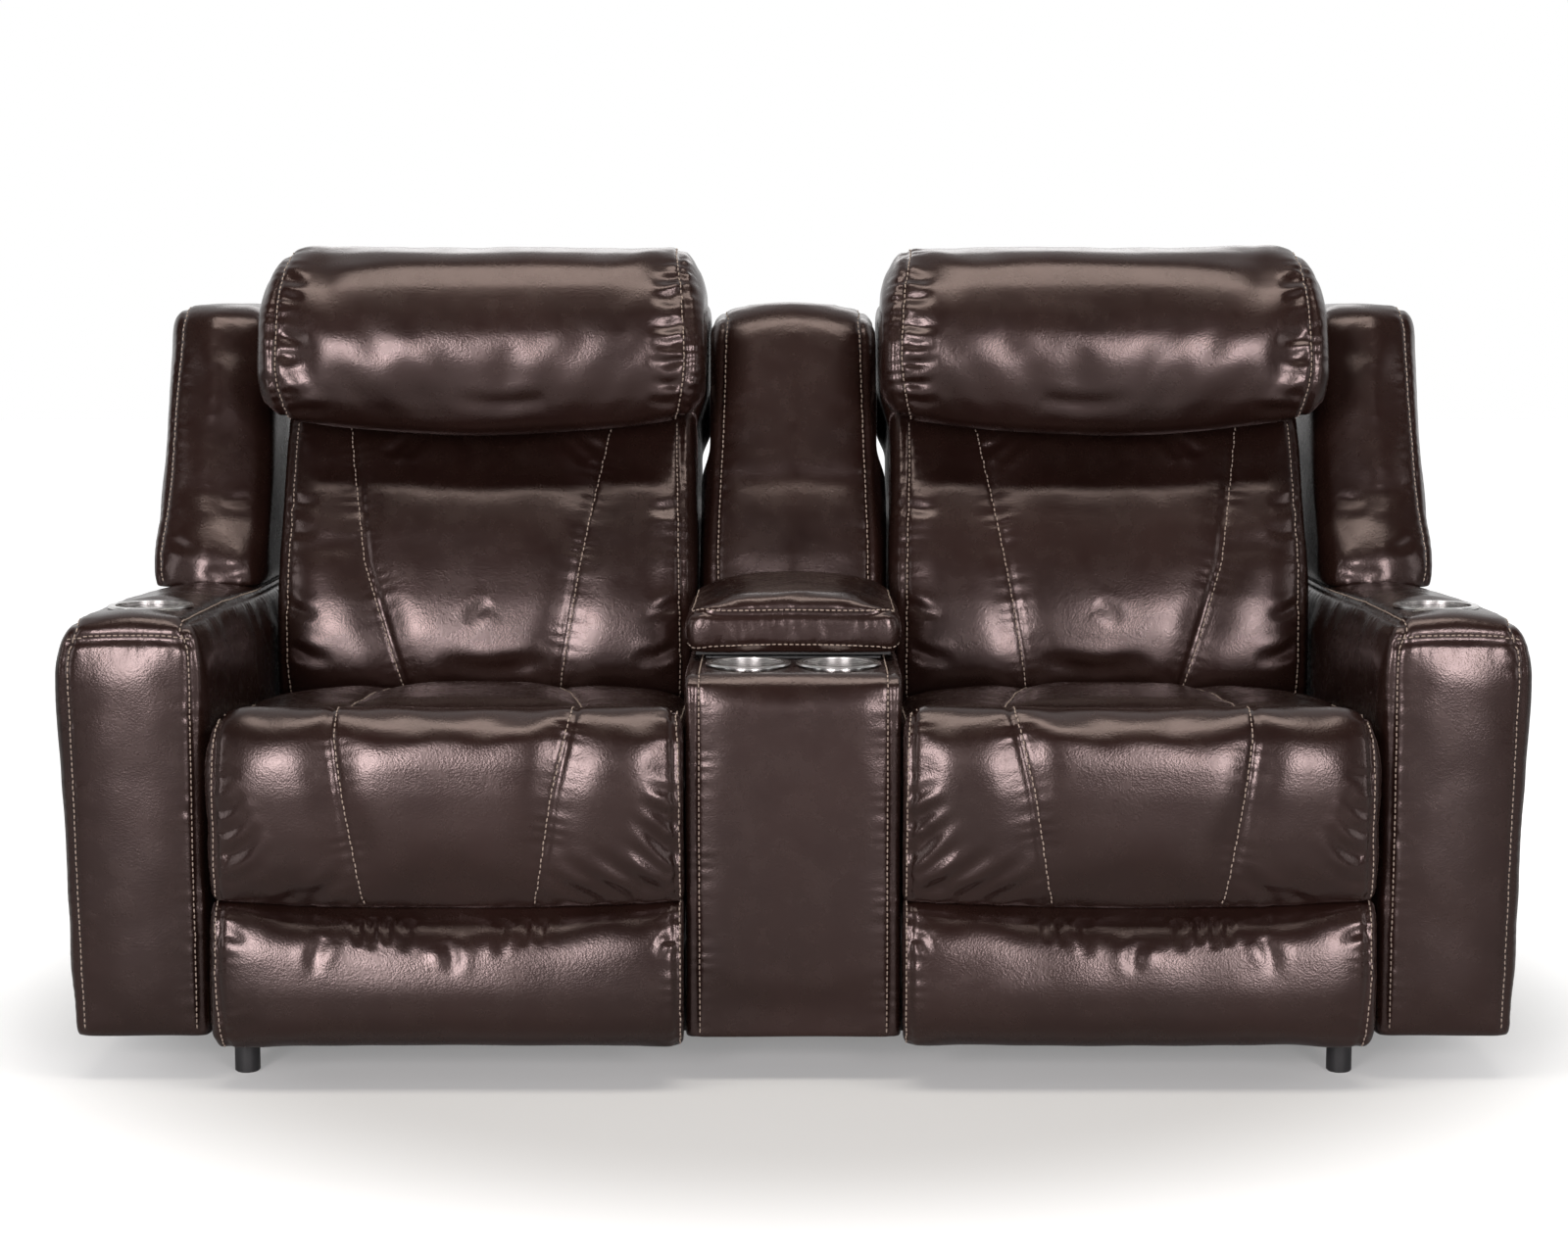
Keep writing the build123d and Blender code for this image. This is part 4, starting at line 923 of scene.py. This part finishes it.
def seatFolds(tree, seams, rng, way):
    outer, inner, outerSide, innerSide, cross = seams
    folds = drawnFolds(tree, seat["folds"], way)
    folds += pullFolds(tree, outerSide, -way, 7, (15, 40), 1.0, rng, (0.5, 0.98))
    folds += pullFolds(tree, innerSide, way, 7, (15, 40), 1.0, rng, (0.5, 0.98))
    folds += pullFolds(tree, cross, way, 8, (12, 30), 0.8, rng, (0.03, 0.97))
    folds += pullFolds(tree, cross, -way, 8, (12, 30), 0.8, rng, (0.03, 0.97))
    return folds


dressPair("seatLeather", seatPiece, seatSeams, seatFolds, {"seed": 11, "rumple": 0.55, "rumpleScale": 170.0},
          blendOverHinge, ["seat_cushion", "seat_bolster", "chaise_pad"])

footOutline = roundCorners(footrest["outline"])
footPiece = extrudeAlongX("footrestLeather", footOutline, footrest["low"], footrest["high"], footrest["endRadius"])
remesh(footPiece, footrest["voxel"])
footSeams = [
    {"line": followOutline(footOutline, (-448, 239), (-460, 46), [(0, 709), (0.5, 710), (1, 702)]),
     "rows": (-4.5,), "pucker": 0.5},
    {"line": followOutline(footOutline, (-448, 239), (-460, 46), [(0, 144), (0.5, 143), (1, 142)]),
     "rows": (4.5,), "pucker": 0.5},
]
snapSeams(footPiece, footSeams)
bend(footPiece, footSeams, shapeFoot)
simulate(footPiece, footSeams, lambda p: (p[:, 1] > -422), **footrest["fill"])
keepBetween(footPiece, *seatSides)
keepHeight(footPiece, 52.0, creaseHeight - creaseGap)
bend(footPiece, footSeams, dipCrease)
applyModifier(footPiece, "SUBSURF", levels=1, render_levels=1)


def footFolds(tree, seams, rng, way):
    folds = drawnFolds(tree, footrest["folds"], way)
    folds += pullFolds(tree, seams[0], -way, 6, (12, 35), 1.0, rng, (0.1, 0.95))
    folds += pullFolds(tree, seams[1], way, 6, (12, 35), 1.0, rng, (0.1, 0.95))
    return folds


dressPair("footrestLeather", footPiece, footSeams, footFolds, {"seed": 21, "rumple": 0.6, "rumpleScale": 150.0},
          rideOn("leg_rest"), ["footrest_pad"])

# Back cushion and its outer shell in one cover.
back = {
    "outline": [
        (110, 404), (36, 404), (18, 422), (11, 450), (10, 485), (14, 520), (22, 560), (35, 610), (51, 660), (74, 715),
        (101, 767), (128, 806), (150, 822), (170, 838), (185, 860), (195, 885), (198, 905), (214, 945),
        (241, 962), (335, 966), (448, 977), (472, 960), (471, 945), (325, 268), (300, 268), (168, 440)],
    "low": 137.5, "high": 719.5, "endRadius": 18.0, "voxel": 8.0,
    "fill": {"pressure": 4.0, "shrink": -0.03, "cap": 8.0},
    "folds": [
        (8, 2.6, [(572, 760), (550, 778), (522, 792)]), (8, 2.2, [(548, 758), (532, 774), (512, 790)]),
        (8, 2.4, [(268, 764), (288, 776), (312, 792)]), (8, 2.0, [(290, 752), (306, 768), (330, 786)]),
        (10, 1.6, [(470, 792), (460, 770), (466, 745)]), (10, 1.4, [(392, 790), (398, 768), (390, 740)]),
        (8, 1.6, [(708, 700), (688, 694), (664, 696)]), (8, 1.4, [(708, 660), (690, 656), (660, 660)]),
        (8, 1.6, [(706, 560), (684, 548), (660, 544)]), (9, 2.0, [(700, 500), (670, 486), (640, 482)]),
        (8, 1.6, [(160, 690), (182, 686), (204, 690)]), (8, 1.6, [(158, 560), (184, 548), (206, 544)]),
        (9, 2.0, [(160, 500), (190, 486), (222, 482)]), (12, 1.6, [(345, 480), (420, 468), (500, 480)]),
        (10, 0.7, [(420, 560), (440, 548), (452, 530)])],
}


def shapeBack(points):
    across = alongSeat(points)
    x, y, z = points.T
    bulge = np.exp(-((z - 545) / 85.0) ** 2) * (1 - across ** 2)
    points[:, 1] -= 5.0 * bulge * (y < 100)
    edge = np.clip((np.abs(across) - 0.80) / 0.22, 0, 1)
    points[:, 1] += 22.0 * (1 - np.sqrt(1 - edge ** 2)) * (y < 150) * np.clip((z - 420) / 40, 0, 1)
    points[:, 0] -= 14.0 * shoulder(points) * np.clip((165 - x) / 20, 0, 1)
    return points


def shoulder(points):  # the inner side widens behind the headrest, as far as the centre back leaves room
    x, y, z = points.T
    upper = np.clip((z - 795) / 45, 0, 1) * np.clip((y - 130) / 40, 0, 1)
    return np.maximum(upper, np.clip((z - 745) / 30, 0, 1) * np.clip((y - 340) / 40, 0, 1))


def keepBack(points):
    points[:, 0] = np.clip(points[:, 0], 135.0 - 12.5 * shoulder(points), 724.0)
    return points


backOutline = roundCorners(back["outline"])
backPiece = extrudeAlongX("backLeather", backOutline, back["low"], back["high"], back["endRadius"])
remesh(backPiece, back["voxel"])
backLow, backHigh = (18, 422), (128, 806)
backSeams = [
    {"line": followOutline(backOutline, backLow, backHigh, [(0, 532), (0.06, 539), (0.48, 593), (1, 622)]),
     "rows": (4.5,), "pucker": 0.35},
    {"line": followOutline(backOutline, backLow, backHigh, [(0, 331), (0.06, 328), (0.48, 299), (1, 261)]),
     "rows": (-4.5,), "pucker": 0.35},
    {"line": followOutline(backOutline, backLow, backHigh, [(0, 706), (0.5, 708), (1, 706)]),
     "rows": (-4.5,), "pucker": 0.4},
    {"line": followOutline(backOutline, backLow, backHigh, [(0, 153), (0.5, 156), (1, 160)]),
     "rows": (4.5,), "pucker": 0.4},
    {"line": curveThrough([(139, 450, 984), (300, 452, 984), (430, 452, 984), (560, 452, 984), (718, 450, 984)]),
     "rows": (4.5,), "pucker": 0.3},
]
snapSeams(backPiece, backSeams)
bend(backPiece, backSeams, shapeBack)


def backHeld(p):
    under = (p[:, 1] > 84) & (p[:, 2] > 738) & (p[:, 2] < 930)
    return (p[:, 1] > 126) & (p[:, 2] < 930) | (p[:, 2] < 410) | under


simulate(backPiece, backSeams, backHeld, **back["fill"])
keepShape(backPiece, keepBack)
applyModifier(backPiece, "SUBSURF", levels=1, render_levels=1)


def backFolds(tree, seams, rng, way):
    outer, inner, outerSide, innerSide, roll = seams
    folds = drawnFolds(tree, back["folds"], way)
    folds += pullFolds(tree, outerSide, way, 8, (14, 40), 1.0, rng)
    folds += pullFolds(tree, innerSide, -way, 8, (14, 40), 1.0, rng)
    return folds


dressPair("backLeather", backPiece, backSeams, backFolds,
          {"seed": 31, "rumple": 0.9, "rumpleScale": 190.0, "keep": keepBack}, rideOn("back"),
          ["back_cushion", "back_shell"])

# Headrest pillow.
headrest = {
    "outline": [
        (95, 810), (74, 808), (56, 802), (40, 793), (26, 789), (11, 802), (0, 830), (-5, 860), (-6, 890),
        (-3, 922), (7, 958), (20, 992), (38, 1022), (60, 1043), (92, 1053), (134, 1048), (171, 1006), (189, 945),
        (192, 905), (182, 862), (152, 828)],
    "low": 121.0, "high": 737.0, "endRadius": 30.0, "voxel": 7.0,
    "fill": {"pressure": 4.0, "shrink": -0.03, "cap": 9.0},
    "folds": [
        (8, 1.8, [(700, 1010), (684, 1004), (664, 1002)]), (7, 1.6, [(704, 985), (688, 980), (670, 980)]),
        (8, 1.8, [(706, 930), (686, 924), (662, 926)]), (8, 1.6, [(706, 905), (688, 900), (668, 904)]),
        (8, 1.6, [(700, 850), (680, 846), (660, 850)]), (9, 1.4, [(690, 832), (660, 826), (630, 830)]),
        (8, 2.0, [(152, 1014), (172, 1006), (194, 1004)]), (8, 2.0, [(152, 985), (172, 980), (196, 982)]),
        (8, 2.2, [(150, 948), (172, 940), (198, 944)]), (8, 2.0, [(150, 922), (170, 916), (192, 920)]),
        (8, 2.0, [(150, 896), (172, 892), (200, 896)]), (8, 1.8, [(152, 868), (172, 862), (194, 866)]),
        (8, 1.6, [(156, 842), (176, 838), (204, 842)]), (10, 1.2, [(340, 842), (400, 836), (470, 840)])],
}


def shapeHead(points):
    across = alongSeat(points)
    x, y, z = points.T
    lower = np.clip((890 - z) / 80, 0, 1) * np.clip((110 - y) / 70, 0, 1)
    points[:, 2] += 24.0 * across ** 2 * lower
    taper = 1 - 0.045 * np.clip((z - 900) / 150, 0, 1) ** 2 - 0.035 * np.clip((900 - z) / 90, 0, 1) ** 2
    points[:, 0] = seatMiddle + (x - seatMiddle) * taper
    outer = np.clip((across - 0.78) / 0.26, 0, 1)
    inner = np.clip((-across - 0.90) / 0.14, 0, 1)
    corner = 30.0 * (1 - np.sqrt(1 - outer ** 2)) + 16.0 * (1 - np.sqrt(1 - inner ** 2))
    points[:, 2] -= corner * np.clip((z - 960) / 80, 0, 1)
    return points


headOutline = roundCorners(headrest["outline"])
headPiece = extrudeAlongX("headrestLeather", headOutline, headrest["low"], headrest["high"], headrest["endRadius"])
remesh(headPiece, headrest["voxel"])
headSeams = [
    {"line": followOutline(headOutline, (56, 802), (171, 1006), [(0, 709), (0.3, 716), (0.6, 716), (1, 714)]),
     "rows": (-4.5,), "depth": 4.0, "width": 6.0, "pucker": 0.6, "reach": 18.0},
    {"line": followOutline(headOutline, (56, 802), (171, 1006), [(0, 150), (0.3, 144), (0.6, 144), (1, 145)]),
     "rows": (4.5,), "depth": 4.0, "width": 6.0, "pucker": 0.7, "reach": 18.0},
]
snapSeams(headPiece, headSeams)
bend(headPiece, headSeams, shapeHead)
simulate(headPiece, headSeams, lambda p: (p[:, 1] > 100) & (p[:, 2] < 900) | (p[:, 2] < 815), **headrest["fill"])


def keepHead(points):  # flat beside the centre back and the wing
    reach = np.clip((points[:, 1] - 95) / 30, 0, 1)
    points[:, 0] = np.clip(points[:, 0], 121.0, 745.0 - 5.0 * reach)
    return points


keepShape(headPiece, keepHead)
applyModifier(headPiece, "SUBSURF", levels=1, render_levels=1)


def headFolds(tree, seams, rng, way):
    folds = drawnFolds(tree, headrest["folds"], way)
    folds += pullFolds(tree, seams[0], way, 10, (10, 26), 1.0, rng, (0.0, 0.9), 0.35)
    folds += pullFolds(tree, seams[1], -way, 12, (10, 30), 1.2, rng, (0.0, 0.9), 0.35)
    folds += pullFolds(tree, seams[0], -way, 8, (8, 18), 1.0, rng)
    folds += pullFolds(tree, seams[1], way, 8, (8, 18), 1.0, rng)
    return folds


dressPair("headrestLeather", headPiece, headSeams, headFolds,
          {"seed": 41, "rumple": 0.9, "rumpleScale": 170.0, "keep": keepHead}, rideOn("headrest"),
          ["headrest_pillow"])

# Arms: stations run front to back, and the front edge rolls down.
arm = {
    "section": [
        (731, 52), (903, 52), (910, 300), (916, 480), (917, 528), (908, 565), (887, 585), (820, 590), (762, 587),
        (739, 572), (731, 535)],
    "front": -428.0, "rear": (345.0, 396.0), "voxel": 9.0,
    "fill": {"pressure": 3.0, "shrink": -0.02, "cap": 8.0},
    "cup": (818.5, -310.0, 47.0, 589.0), "pocket": (-330.5, -209.5, 429.5, 470.5, 899.0),
}
armSection = roundCorners(arm["section"])


def armRings(spec, section):
    rings = []
    for share, amount in ((0, 16), (0.005, 8), (0.012, 3), (0.022, 0), (0.12, 0), (0.3, 0), (0.62, 0), (1, 0)):
        shape = inset(section, amount)
        rear = spec["rear"][0] + (spec["rear"][1] - spec["rear"][0]) * (shape[:, 1] - 57) / 520
        y = spec["front"] + share * (rear - spec["front"])
        drop = np.clip((y + 190) / 245, 0, 1) * 11.0 * np.clip((shape[:, 1] - 450) / 130, 0, 1)
        rings.append(np.column_stack([shape[:, 0], y, shape[:, 1] - drop]))
    return rings


def cutAway(piece):
    cutter = bpy.context.object
    applyModifier(piece, "BOOLEAN", object=cutter, operation="DIFFERENCE", solver="EXACT")
    bpy.data.objects.remove(cutter)


def cutCup(piece, x, y, radius, top, depth, sides):
    bpy.ops.mesh.primitive_cylinder_add(
        vertices=sides, radius=radius * mm, depth=depth, location=(x * mm, y * mm, top * mm))
    cutAway(piece)


def cutBox(piece, x, y, z):
    bpy.ops.mesh.primitive_cube_add(
        size=1.0, location=(sum(x) / 2 * mm, sum(y) / 2 * mm, sum(z) / 2 * mm),
        scale=((x[1] - x[0]) * mm, (y[1] - y[0]) * mm, (z[1] - z[0]) * mm))
    cutAway(piece)


armPiece = loft("armLeather", armRings(arm, armSection))
remesh(armPiece, arm["voxel"], 3)
armSeams = [
    {"line": curveThrough([(896, -429, 66), (900, -429, 300), (902, -429, 500), (899, -428, 556), (893, -424, 578),
                           (893, -380, 582), (892, -200, 584), (890, 50, 574), (890, 380, 574)]),
     "rows": (-4.5,), "pucker": 0.4},
    {"line": curveThrough([(742, -429, 66), (741, -429, 300), (741, -429, 500), (744, -428, 552), (752, -424, 574),
                           (752, -380, 580), (750, -200, 580), (752, 50, 570), (752, 380, 570)]),
     "rows": (4.5,), "pucker": 0.4},
    {"line": curveThrough([(744, -428, 556), (780, -428, 560), (820, -428, 561), (860, -428, 560), (899, -428, 556)]),
     "rows": (-4.5,), "pucker": 0.4},
]
snapSeams(armPiece, armSeams)
simulate(armPiece, armSeams, lambda p: (p[:, 2] < 66) | (p[:, 1] > 330) | (p[:, 2] > 560) & (p[:, 1] > 60),
         **arm["fill"])
keepBetween(armPiece, 727.5, 921.5)
keepHeight(armPiece, low=57.0)


def cutArm(piece, spec):
    points = pointsOf(piece) / mm
    x, y, radius, top = spec["cup"]
    apart = np.hypot(points[:, 0] - x, points[:, 1] - y)
    flat = np.clip(1 - (apart - 56) / 22, 0, 1) * (points[:, 2] > 560)
    points[:, 2] = points[:, 2] * (1 - flat) + np.minimum(points[:, 2], top - 0.6) * flat
    setPoints(piece, points * mm)
    cutCup(piece, x, y, radius, top, 0.17, 72)
    y0, y1, z0, z1, x0 = spec["pocket"]
    cutBox(piece, (x0, 940), (y0, y1), (z0, z1))


applyModifier(armPiece, "SUBSURF", levels=1, render_levels=1)


def armFolds(tree, seams, rng, way):
    folds = pullFolds(tree, seams[0], -way, 8, (12, 40), 0.8, rng, (0.0, 0.45))
    folds += pullFolds(tree, seams[1], way, 8, (12, 40), 0.8, rng, (0.0, 0.45))
    folds += pullFolds(tree, seams[2], way, 6, (10, 25), 0.7, rng)
    return folds


def placeArm(piece, side):
    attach(piece, "base")


cutArm(armPiece, arm)
dressPair("armLeather", armPiece, armSeams, armFolds, {"seed": 51, "rumple": 0.35, "rumpleScale": 160.0},
          placeArm, ["arm_cover"])

# Wings beside the backs, and the centre back over the console: stations run upwards.
wing = {
    "bottom": (747, 903), "top": (753, 893), "heights": (576.0, 968.0), "topRound": 26.0, "flare": 0.0,
    "front": (56.0, 577.0, 0.3327), "belly": (12.0, 622.0, 42.0), "bow": 9.0, "voxel": 8.0,
    "fill": {"pressure": 3.0, "shrink": -0.02, "cap": 5.0},
    "folds": [(8, 1.2, [(765, 600), (800, 596), (836, 602)]), (8, 1.0, [(870, 640), (850, 632), (828, 634)]),
              (8, 1.0, [(768, 700), (786, 696), (808, 700)])],
}
centreBack = {
    "bottom": (-131, 131), "top": (-117, 117), "heights": (520.0, 958.0), "topRound": 34.0, "flare": 13.0,
    "front": (58.0, 577.0, 0.3327), "belly": (6.0, 640.0, 70.0), "bow": 13.0, "voxel": 8.0, "crown": 15.0,
    "fill": {"pressure": 3.0, "shrink": -0.02, "cap": 5.0},
}


def rearAt(height):
    return 345 + (height - 345) * 0.2213


def upright(name, spec):
    low, high = spec["heights"]
    rings, counts = [], None
    levels = [(h, 0.0) for h in np.linspace(low, high - spec["topRound"], 9)]
    for k in range(1, 5):
        angle = math.pi / 2 * k / 4
        levels.append((high - spec["topRound"] * (1 - math.sin(angle)), spec["topRound"] * (1 - math.cos(angle))))
    for h, amount in levels:
        share = (h - low) / (high - low)
        x0 = spec["bottom"][0] + (spec["top"][0] - spec["bottom"][0]) * share
        x1 = spec["bottom"][1] + (spec["top"][1] - spec["bottom"][1]) * share
        size, middle, tall = spec["belly"]
        y0 = spec["front"][0] + (h - spec["front"][1]) * spec["front"][2] - size * math.exp(-((h - middle) / tall) ** 2)
        y1 = min(rearAt(h) - 4, 474.0)
        bow, flare, centre = spec["bow"], spec["flare"], (x0 + x1) / 2
        box = [(x0, y0 + 34), (x0 + 9, y0 + 11), (x0 + 34, y0), (centre, y0 - bow), (x1 - 34, y0), (x1 - 9, y0 + 11),
               (x1, y0 + 34), (x1 + flare, y1 - 14), (x1 - 14, y1), (x0 + 14, y1), (x0 - flare, y1 - 14)]
        counts = counts or runCounts(box)  # the same number of points in every ring
        box = inset(roundCorners(box, counts=counts), amount)
        crown = spec.get("crown", 0.0) * share ** 6 * (1 - ((box[:, 0] - (x0 + x1) / 2) / ((x1 - x0) / 2)) ** 2)
        rings.append(np.column_stack([box, h + crown]))
    piece = loft(name, rings)
    remesh(piece, spec["voxel"])
    return piece


wingPiece = upright("wingLeather", wing)
wingSeams = [
    {"line": curveThrough([(893, 60, 582), (889, 100, 700), (885, 144, 830), (881, 178, 930), (876, 196, 958),
                           (874, 240, 966), (874, 380, 967), (876, 455, 966)]), "rows": (-4.5,), "pucker": 0.4},
    {"line": curveThrough([(752, 196, 958), (758, 240, 966), (760, 380, 967), (762, 455, 966)]),
     "rows": (), "pucker": 0.3},
]
snapSeams(wingPiece, wingSeams)
simulate(wingPiece, wingSeams, lambda p: (p[:, 2] < 584) | (p[:, 1] > rearAt(p[:, 2]) - 12), **wing["fill"])
keepBetween(wingPiece, 745.0, 906.0)
applyModifier(wingPiece, "SUBSURF", levels=1, render_levels=1)


def wingFolds(tree, seams, rng, way):
    folds = pullFolds(tree, seams[0], -way, 6, (12, 40), 0.8, rng, (0.0, 0.6))
    return folds + drawnFolds(tree, wing["folds"], way)


dressPair("wingLeather", wingPiece, wingSeams, wingFolds, {"seed": 61, "rumple": 0.6, "rumpleScale": 140.0},
          placeArm, ["wing"])


def dressSingle(label, piece, seams, folds, look, body, replaced):
    dress(piece, seams, folds, look, look["seed"], 1)
    rows = stitchRows(seams)
    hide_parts(*replaced)
    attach(piece, body)
    if rows:
        sewn = sew(f"{label}Thread", piece, rows)
        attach(sewn, body)
    print(label, "done,", len(piece.data.vertices), "points")


centrePiece = upright("centreBackLeather", centreBack)
centreSeams = [
    {"line": curveThrough([(side * 114, 36, 530), (side * 112, 90, 680), (side * 107, 140, 830), (side * 103, 178, 940),
                           (side * 102, 200, 956), (side * 102, 280, 960), (side * 102, 450, 960)]),
     "rows": (4.5 * -side,), "pucker": 0.25} for side in (1, -1)
]
snapSeams(centrePiece, centreSeams)
simulate(centrePiece, centreSeams, lambda p: (p[:, 2] < 529) | (p[:, 1] > rearAt(p[:, 2]) - 12), **centreBack["fill"])


def keepCentre(points):  # the headrests pass beside the upper part as the backs recline
    up = np.clip((points[:, 2] - 712) / 60, 0, 1)
    rear = np.clip((points[:, 1] - 205) / 35, 0, 1) * np.clip((points[:, 2] - 650) / 30, 0, 1)
    tight = np.maximum(up * up * (3 - 2 * up), rear)
    limit = 133.5 - 14.5 * tight
    points[:, 0] = np.clip(points[:, 0], -limit, limit)
    return points


keepShape(centrePiece, keepCentre)
applyModifier(centrePiece, "SUBSURF", levels=1, render_levels=1)
dressSingle("centreBack", centrePiece, centreSeams,
            lambda tree, seams, rng, way: pullFolds(tree, seams[0], -1, 5, (15, 40), 0.8, rng, (0, 0.6))
            + pullFolds(tree, seams[1], 1, 5, (15, 40), 0.8, rng, (0, 0.6)),
            {"seed": 71, "rumple": 0.7, "rumpleScale": 150.0, "keep": keepCentre}, "base", ["centre_back"])

# Console: the fixed box between the seats, with its cups and bin, and the lid's pad.
console = {
    "outline": [
        (-398, 98), (-398, 53), (-426, 53), (-426, 300), (-425, 484), (-422, 504), (-409, 516), (-382, 518),
        (-100, 518), (200, 518), (380, 518), (345, 260), (338, 240), (338, 98)],
    "low": -137.0, "high": 137.0, "endRadius": 9.0, "voxel": 6.0,
    "fill": {"pressure": 2.0, "shrink": -0.01, "cap": 5.0},
    "cups": (57.0, -346.0, 47.0, 520.0), "bin": (104.8, -279.8, 4.8, 325.0),
}
consoleOutline = roundCorners(console["outline"], 10.0)
consolePiece = extrudeAlongX("consoleLeather", consoleOutline, console["low"], console["high"], console["endRadius"])
remesh(consolePiece, console["voxel"], 3)
consoleSeams = [
    {"line": curveThrough([(side * 122, -425, 62), (side * 122, -425, 300), (side * 122, -425, 492),
                           (side * 122, -418, 511), (side * 122, -400, 519), (side * 122, -300, 519),
                           (side * 122, 30, 519)]),
     "rows": (4.5 * -side,), "depth": 2.5, "pucker": 0.3} for side in (1, -1)
]
snapSeams(consolePiece, consoleSeams)
simulate(consolePiece, consoleSeams, lambda p: (p[:, 2] > 511) | (p[:, 2] < 104) | (p[:, 1] > -390), **console["fill"])
keepBetween(consolePiece, -135.2, 135.2)
keepHeight(consolePiece, low=57.0)
applyModifier(consolePiece, "SUBSURF", levels=1, render_levels=1)


def cutConsole(piece, spec):
    x, y, radius, top = spec["cups"]
    points = pointsOf(piece)
    points[:, 2] = np.minimum(points[:, 2], (top - 0.3) * mm)
    setPoints(piece, points)
    for side in (-1, 1):
        cutCup(piece, side * x, y, radius, top, 0.16, 64)
    half, front, rear, floor = spec["bin"]
    cutBox(piece, (-half, half), (front, rear), (floor, 560))


dressSingle("console", consolePiece, consoleSeams, lambda tree, seams, rng, way: [],
            {"seed": 81, "rumple": 0.25, "rumpleScale": 160.0}, "base", ["console_body"])
cutConsole(consolePiece, console)

lid = {
    "section": [
        (-134, 525), (134, 525), (139, 545), (139, 566), (134, 580), (114, 589), (60, 598), (0, 601), (-60, 598),
        (-114, 589), (-134, 580), (-139, 566), (-139, 545)],
    "stations": ((-295, 12), (-293, 7), (-288, 2), (-276, 0), (-180, 0), (-80, 0), (0, 0), (8, 2), (14, 7), (17, 14)),
    "voxel": 6.0, "fill": {"pressure": 3.0, "shrink": -0.02, "cap": 6.0},
}
lidSection = roundCorners(lid["section"])
lidRings = []
for y, amount in lid["stations"]:
    shape = inset(lidSection, amount)
    lidRings.append(np.column_stack([shape[:, 0], np.full(len(shape), y), shape[:, 1]]))
lidPiece = loft("lidLeather", lidRings)
remesh(lidPiece, lid["voxel"], 3)


def lidLine(height, front):
    half = [(136, 10), (137, -120), (135, -262), (122, -286), (60, front)]
    points = [(-x, y, height) for x, y in half] + [(0, front, height + 1)] + [(x, y, height) for x, y in reversed(half)]
    return curveThrough(points)


lidSeams = [
    {"line": lidLine(577, -293), "rows": (-4.5,), "pucker": 0.3, "depth": 3.0},
    {"line": lidLine(533, -293), "rows": (-4.5,), "pucker": 0.3, "depth": 2.0},
]
snapSeams(lidPiece, lidSeams)
simulate(lidPiece, lidSeams, lambda p: p[:, 2] < 529, **lid["fill"], passes=6)
keepBetween(lidPiece, -141.0, 141.0)
keepHeight(lidPiece, low=524.6)
applyModifier(lidPiece, "SUBSURF", levels=1, render_levels=1)
dressSingle("lid", lidPiece, lidSeams,
            lambda tree, seams, rng, way: pullFolds(tree, seams[0], -1, 14, (10, 35), 0.8, rng),
            {"seed": 91, "rumple": 0.4, "rumpleScale": 110.0}, "lid", ["lid_pad"])

# The rigid pieces keep their CAD shapes and get the finish of their slot.
cups = {
    "arm_cup_holder_right": (0.8185, -0.310), "arm_cup_holder_left": (-0.8185, -0.310),
    "console_cup_holder_right": (0.057, -0.346), "console_cup_holder_left": (-0.057, -0.346),
}
for part in frame["record"]["subparts"]:
    node = nodes[part["node"]]
    if node.hide_render:
        continue
    finish = slotMaterials.get(part["material_slot"])
    if part["node"] in cups:
        finish = makeSteel(f"steel_{part['node']}", (0.66, 0.65, 0.64), cups[part["node"]])
    node.data.materials.clear()
    node.data.materials.append(finish or leatherSkin)
    bpy.context.view_layer.objects.active = node
    node.data.shade_smooth()
    bpy.ops.object.select_all(action="DESELECT")
    node.select_set(True)
    bpy.ops.object.shade_smooth_by_angle(angle=math.radians(35))
    node.select_set(False)
print("rigid pieces finished")

bpy.context.scene.frame_set(1)
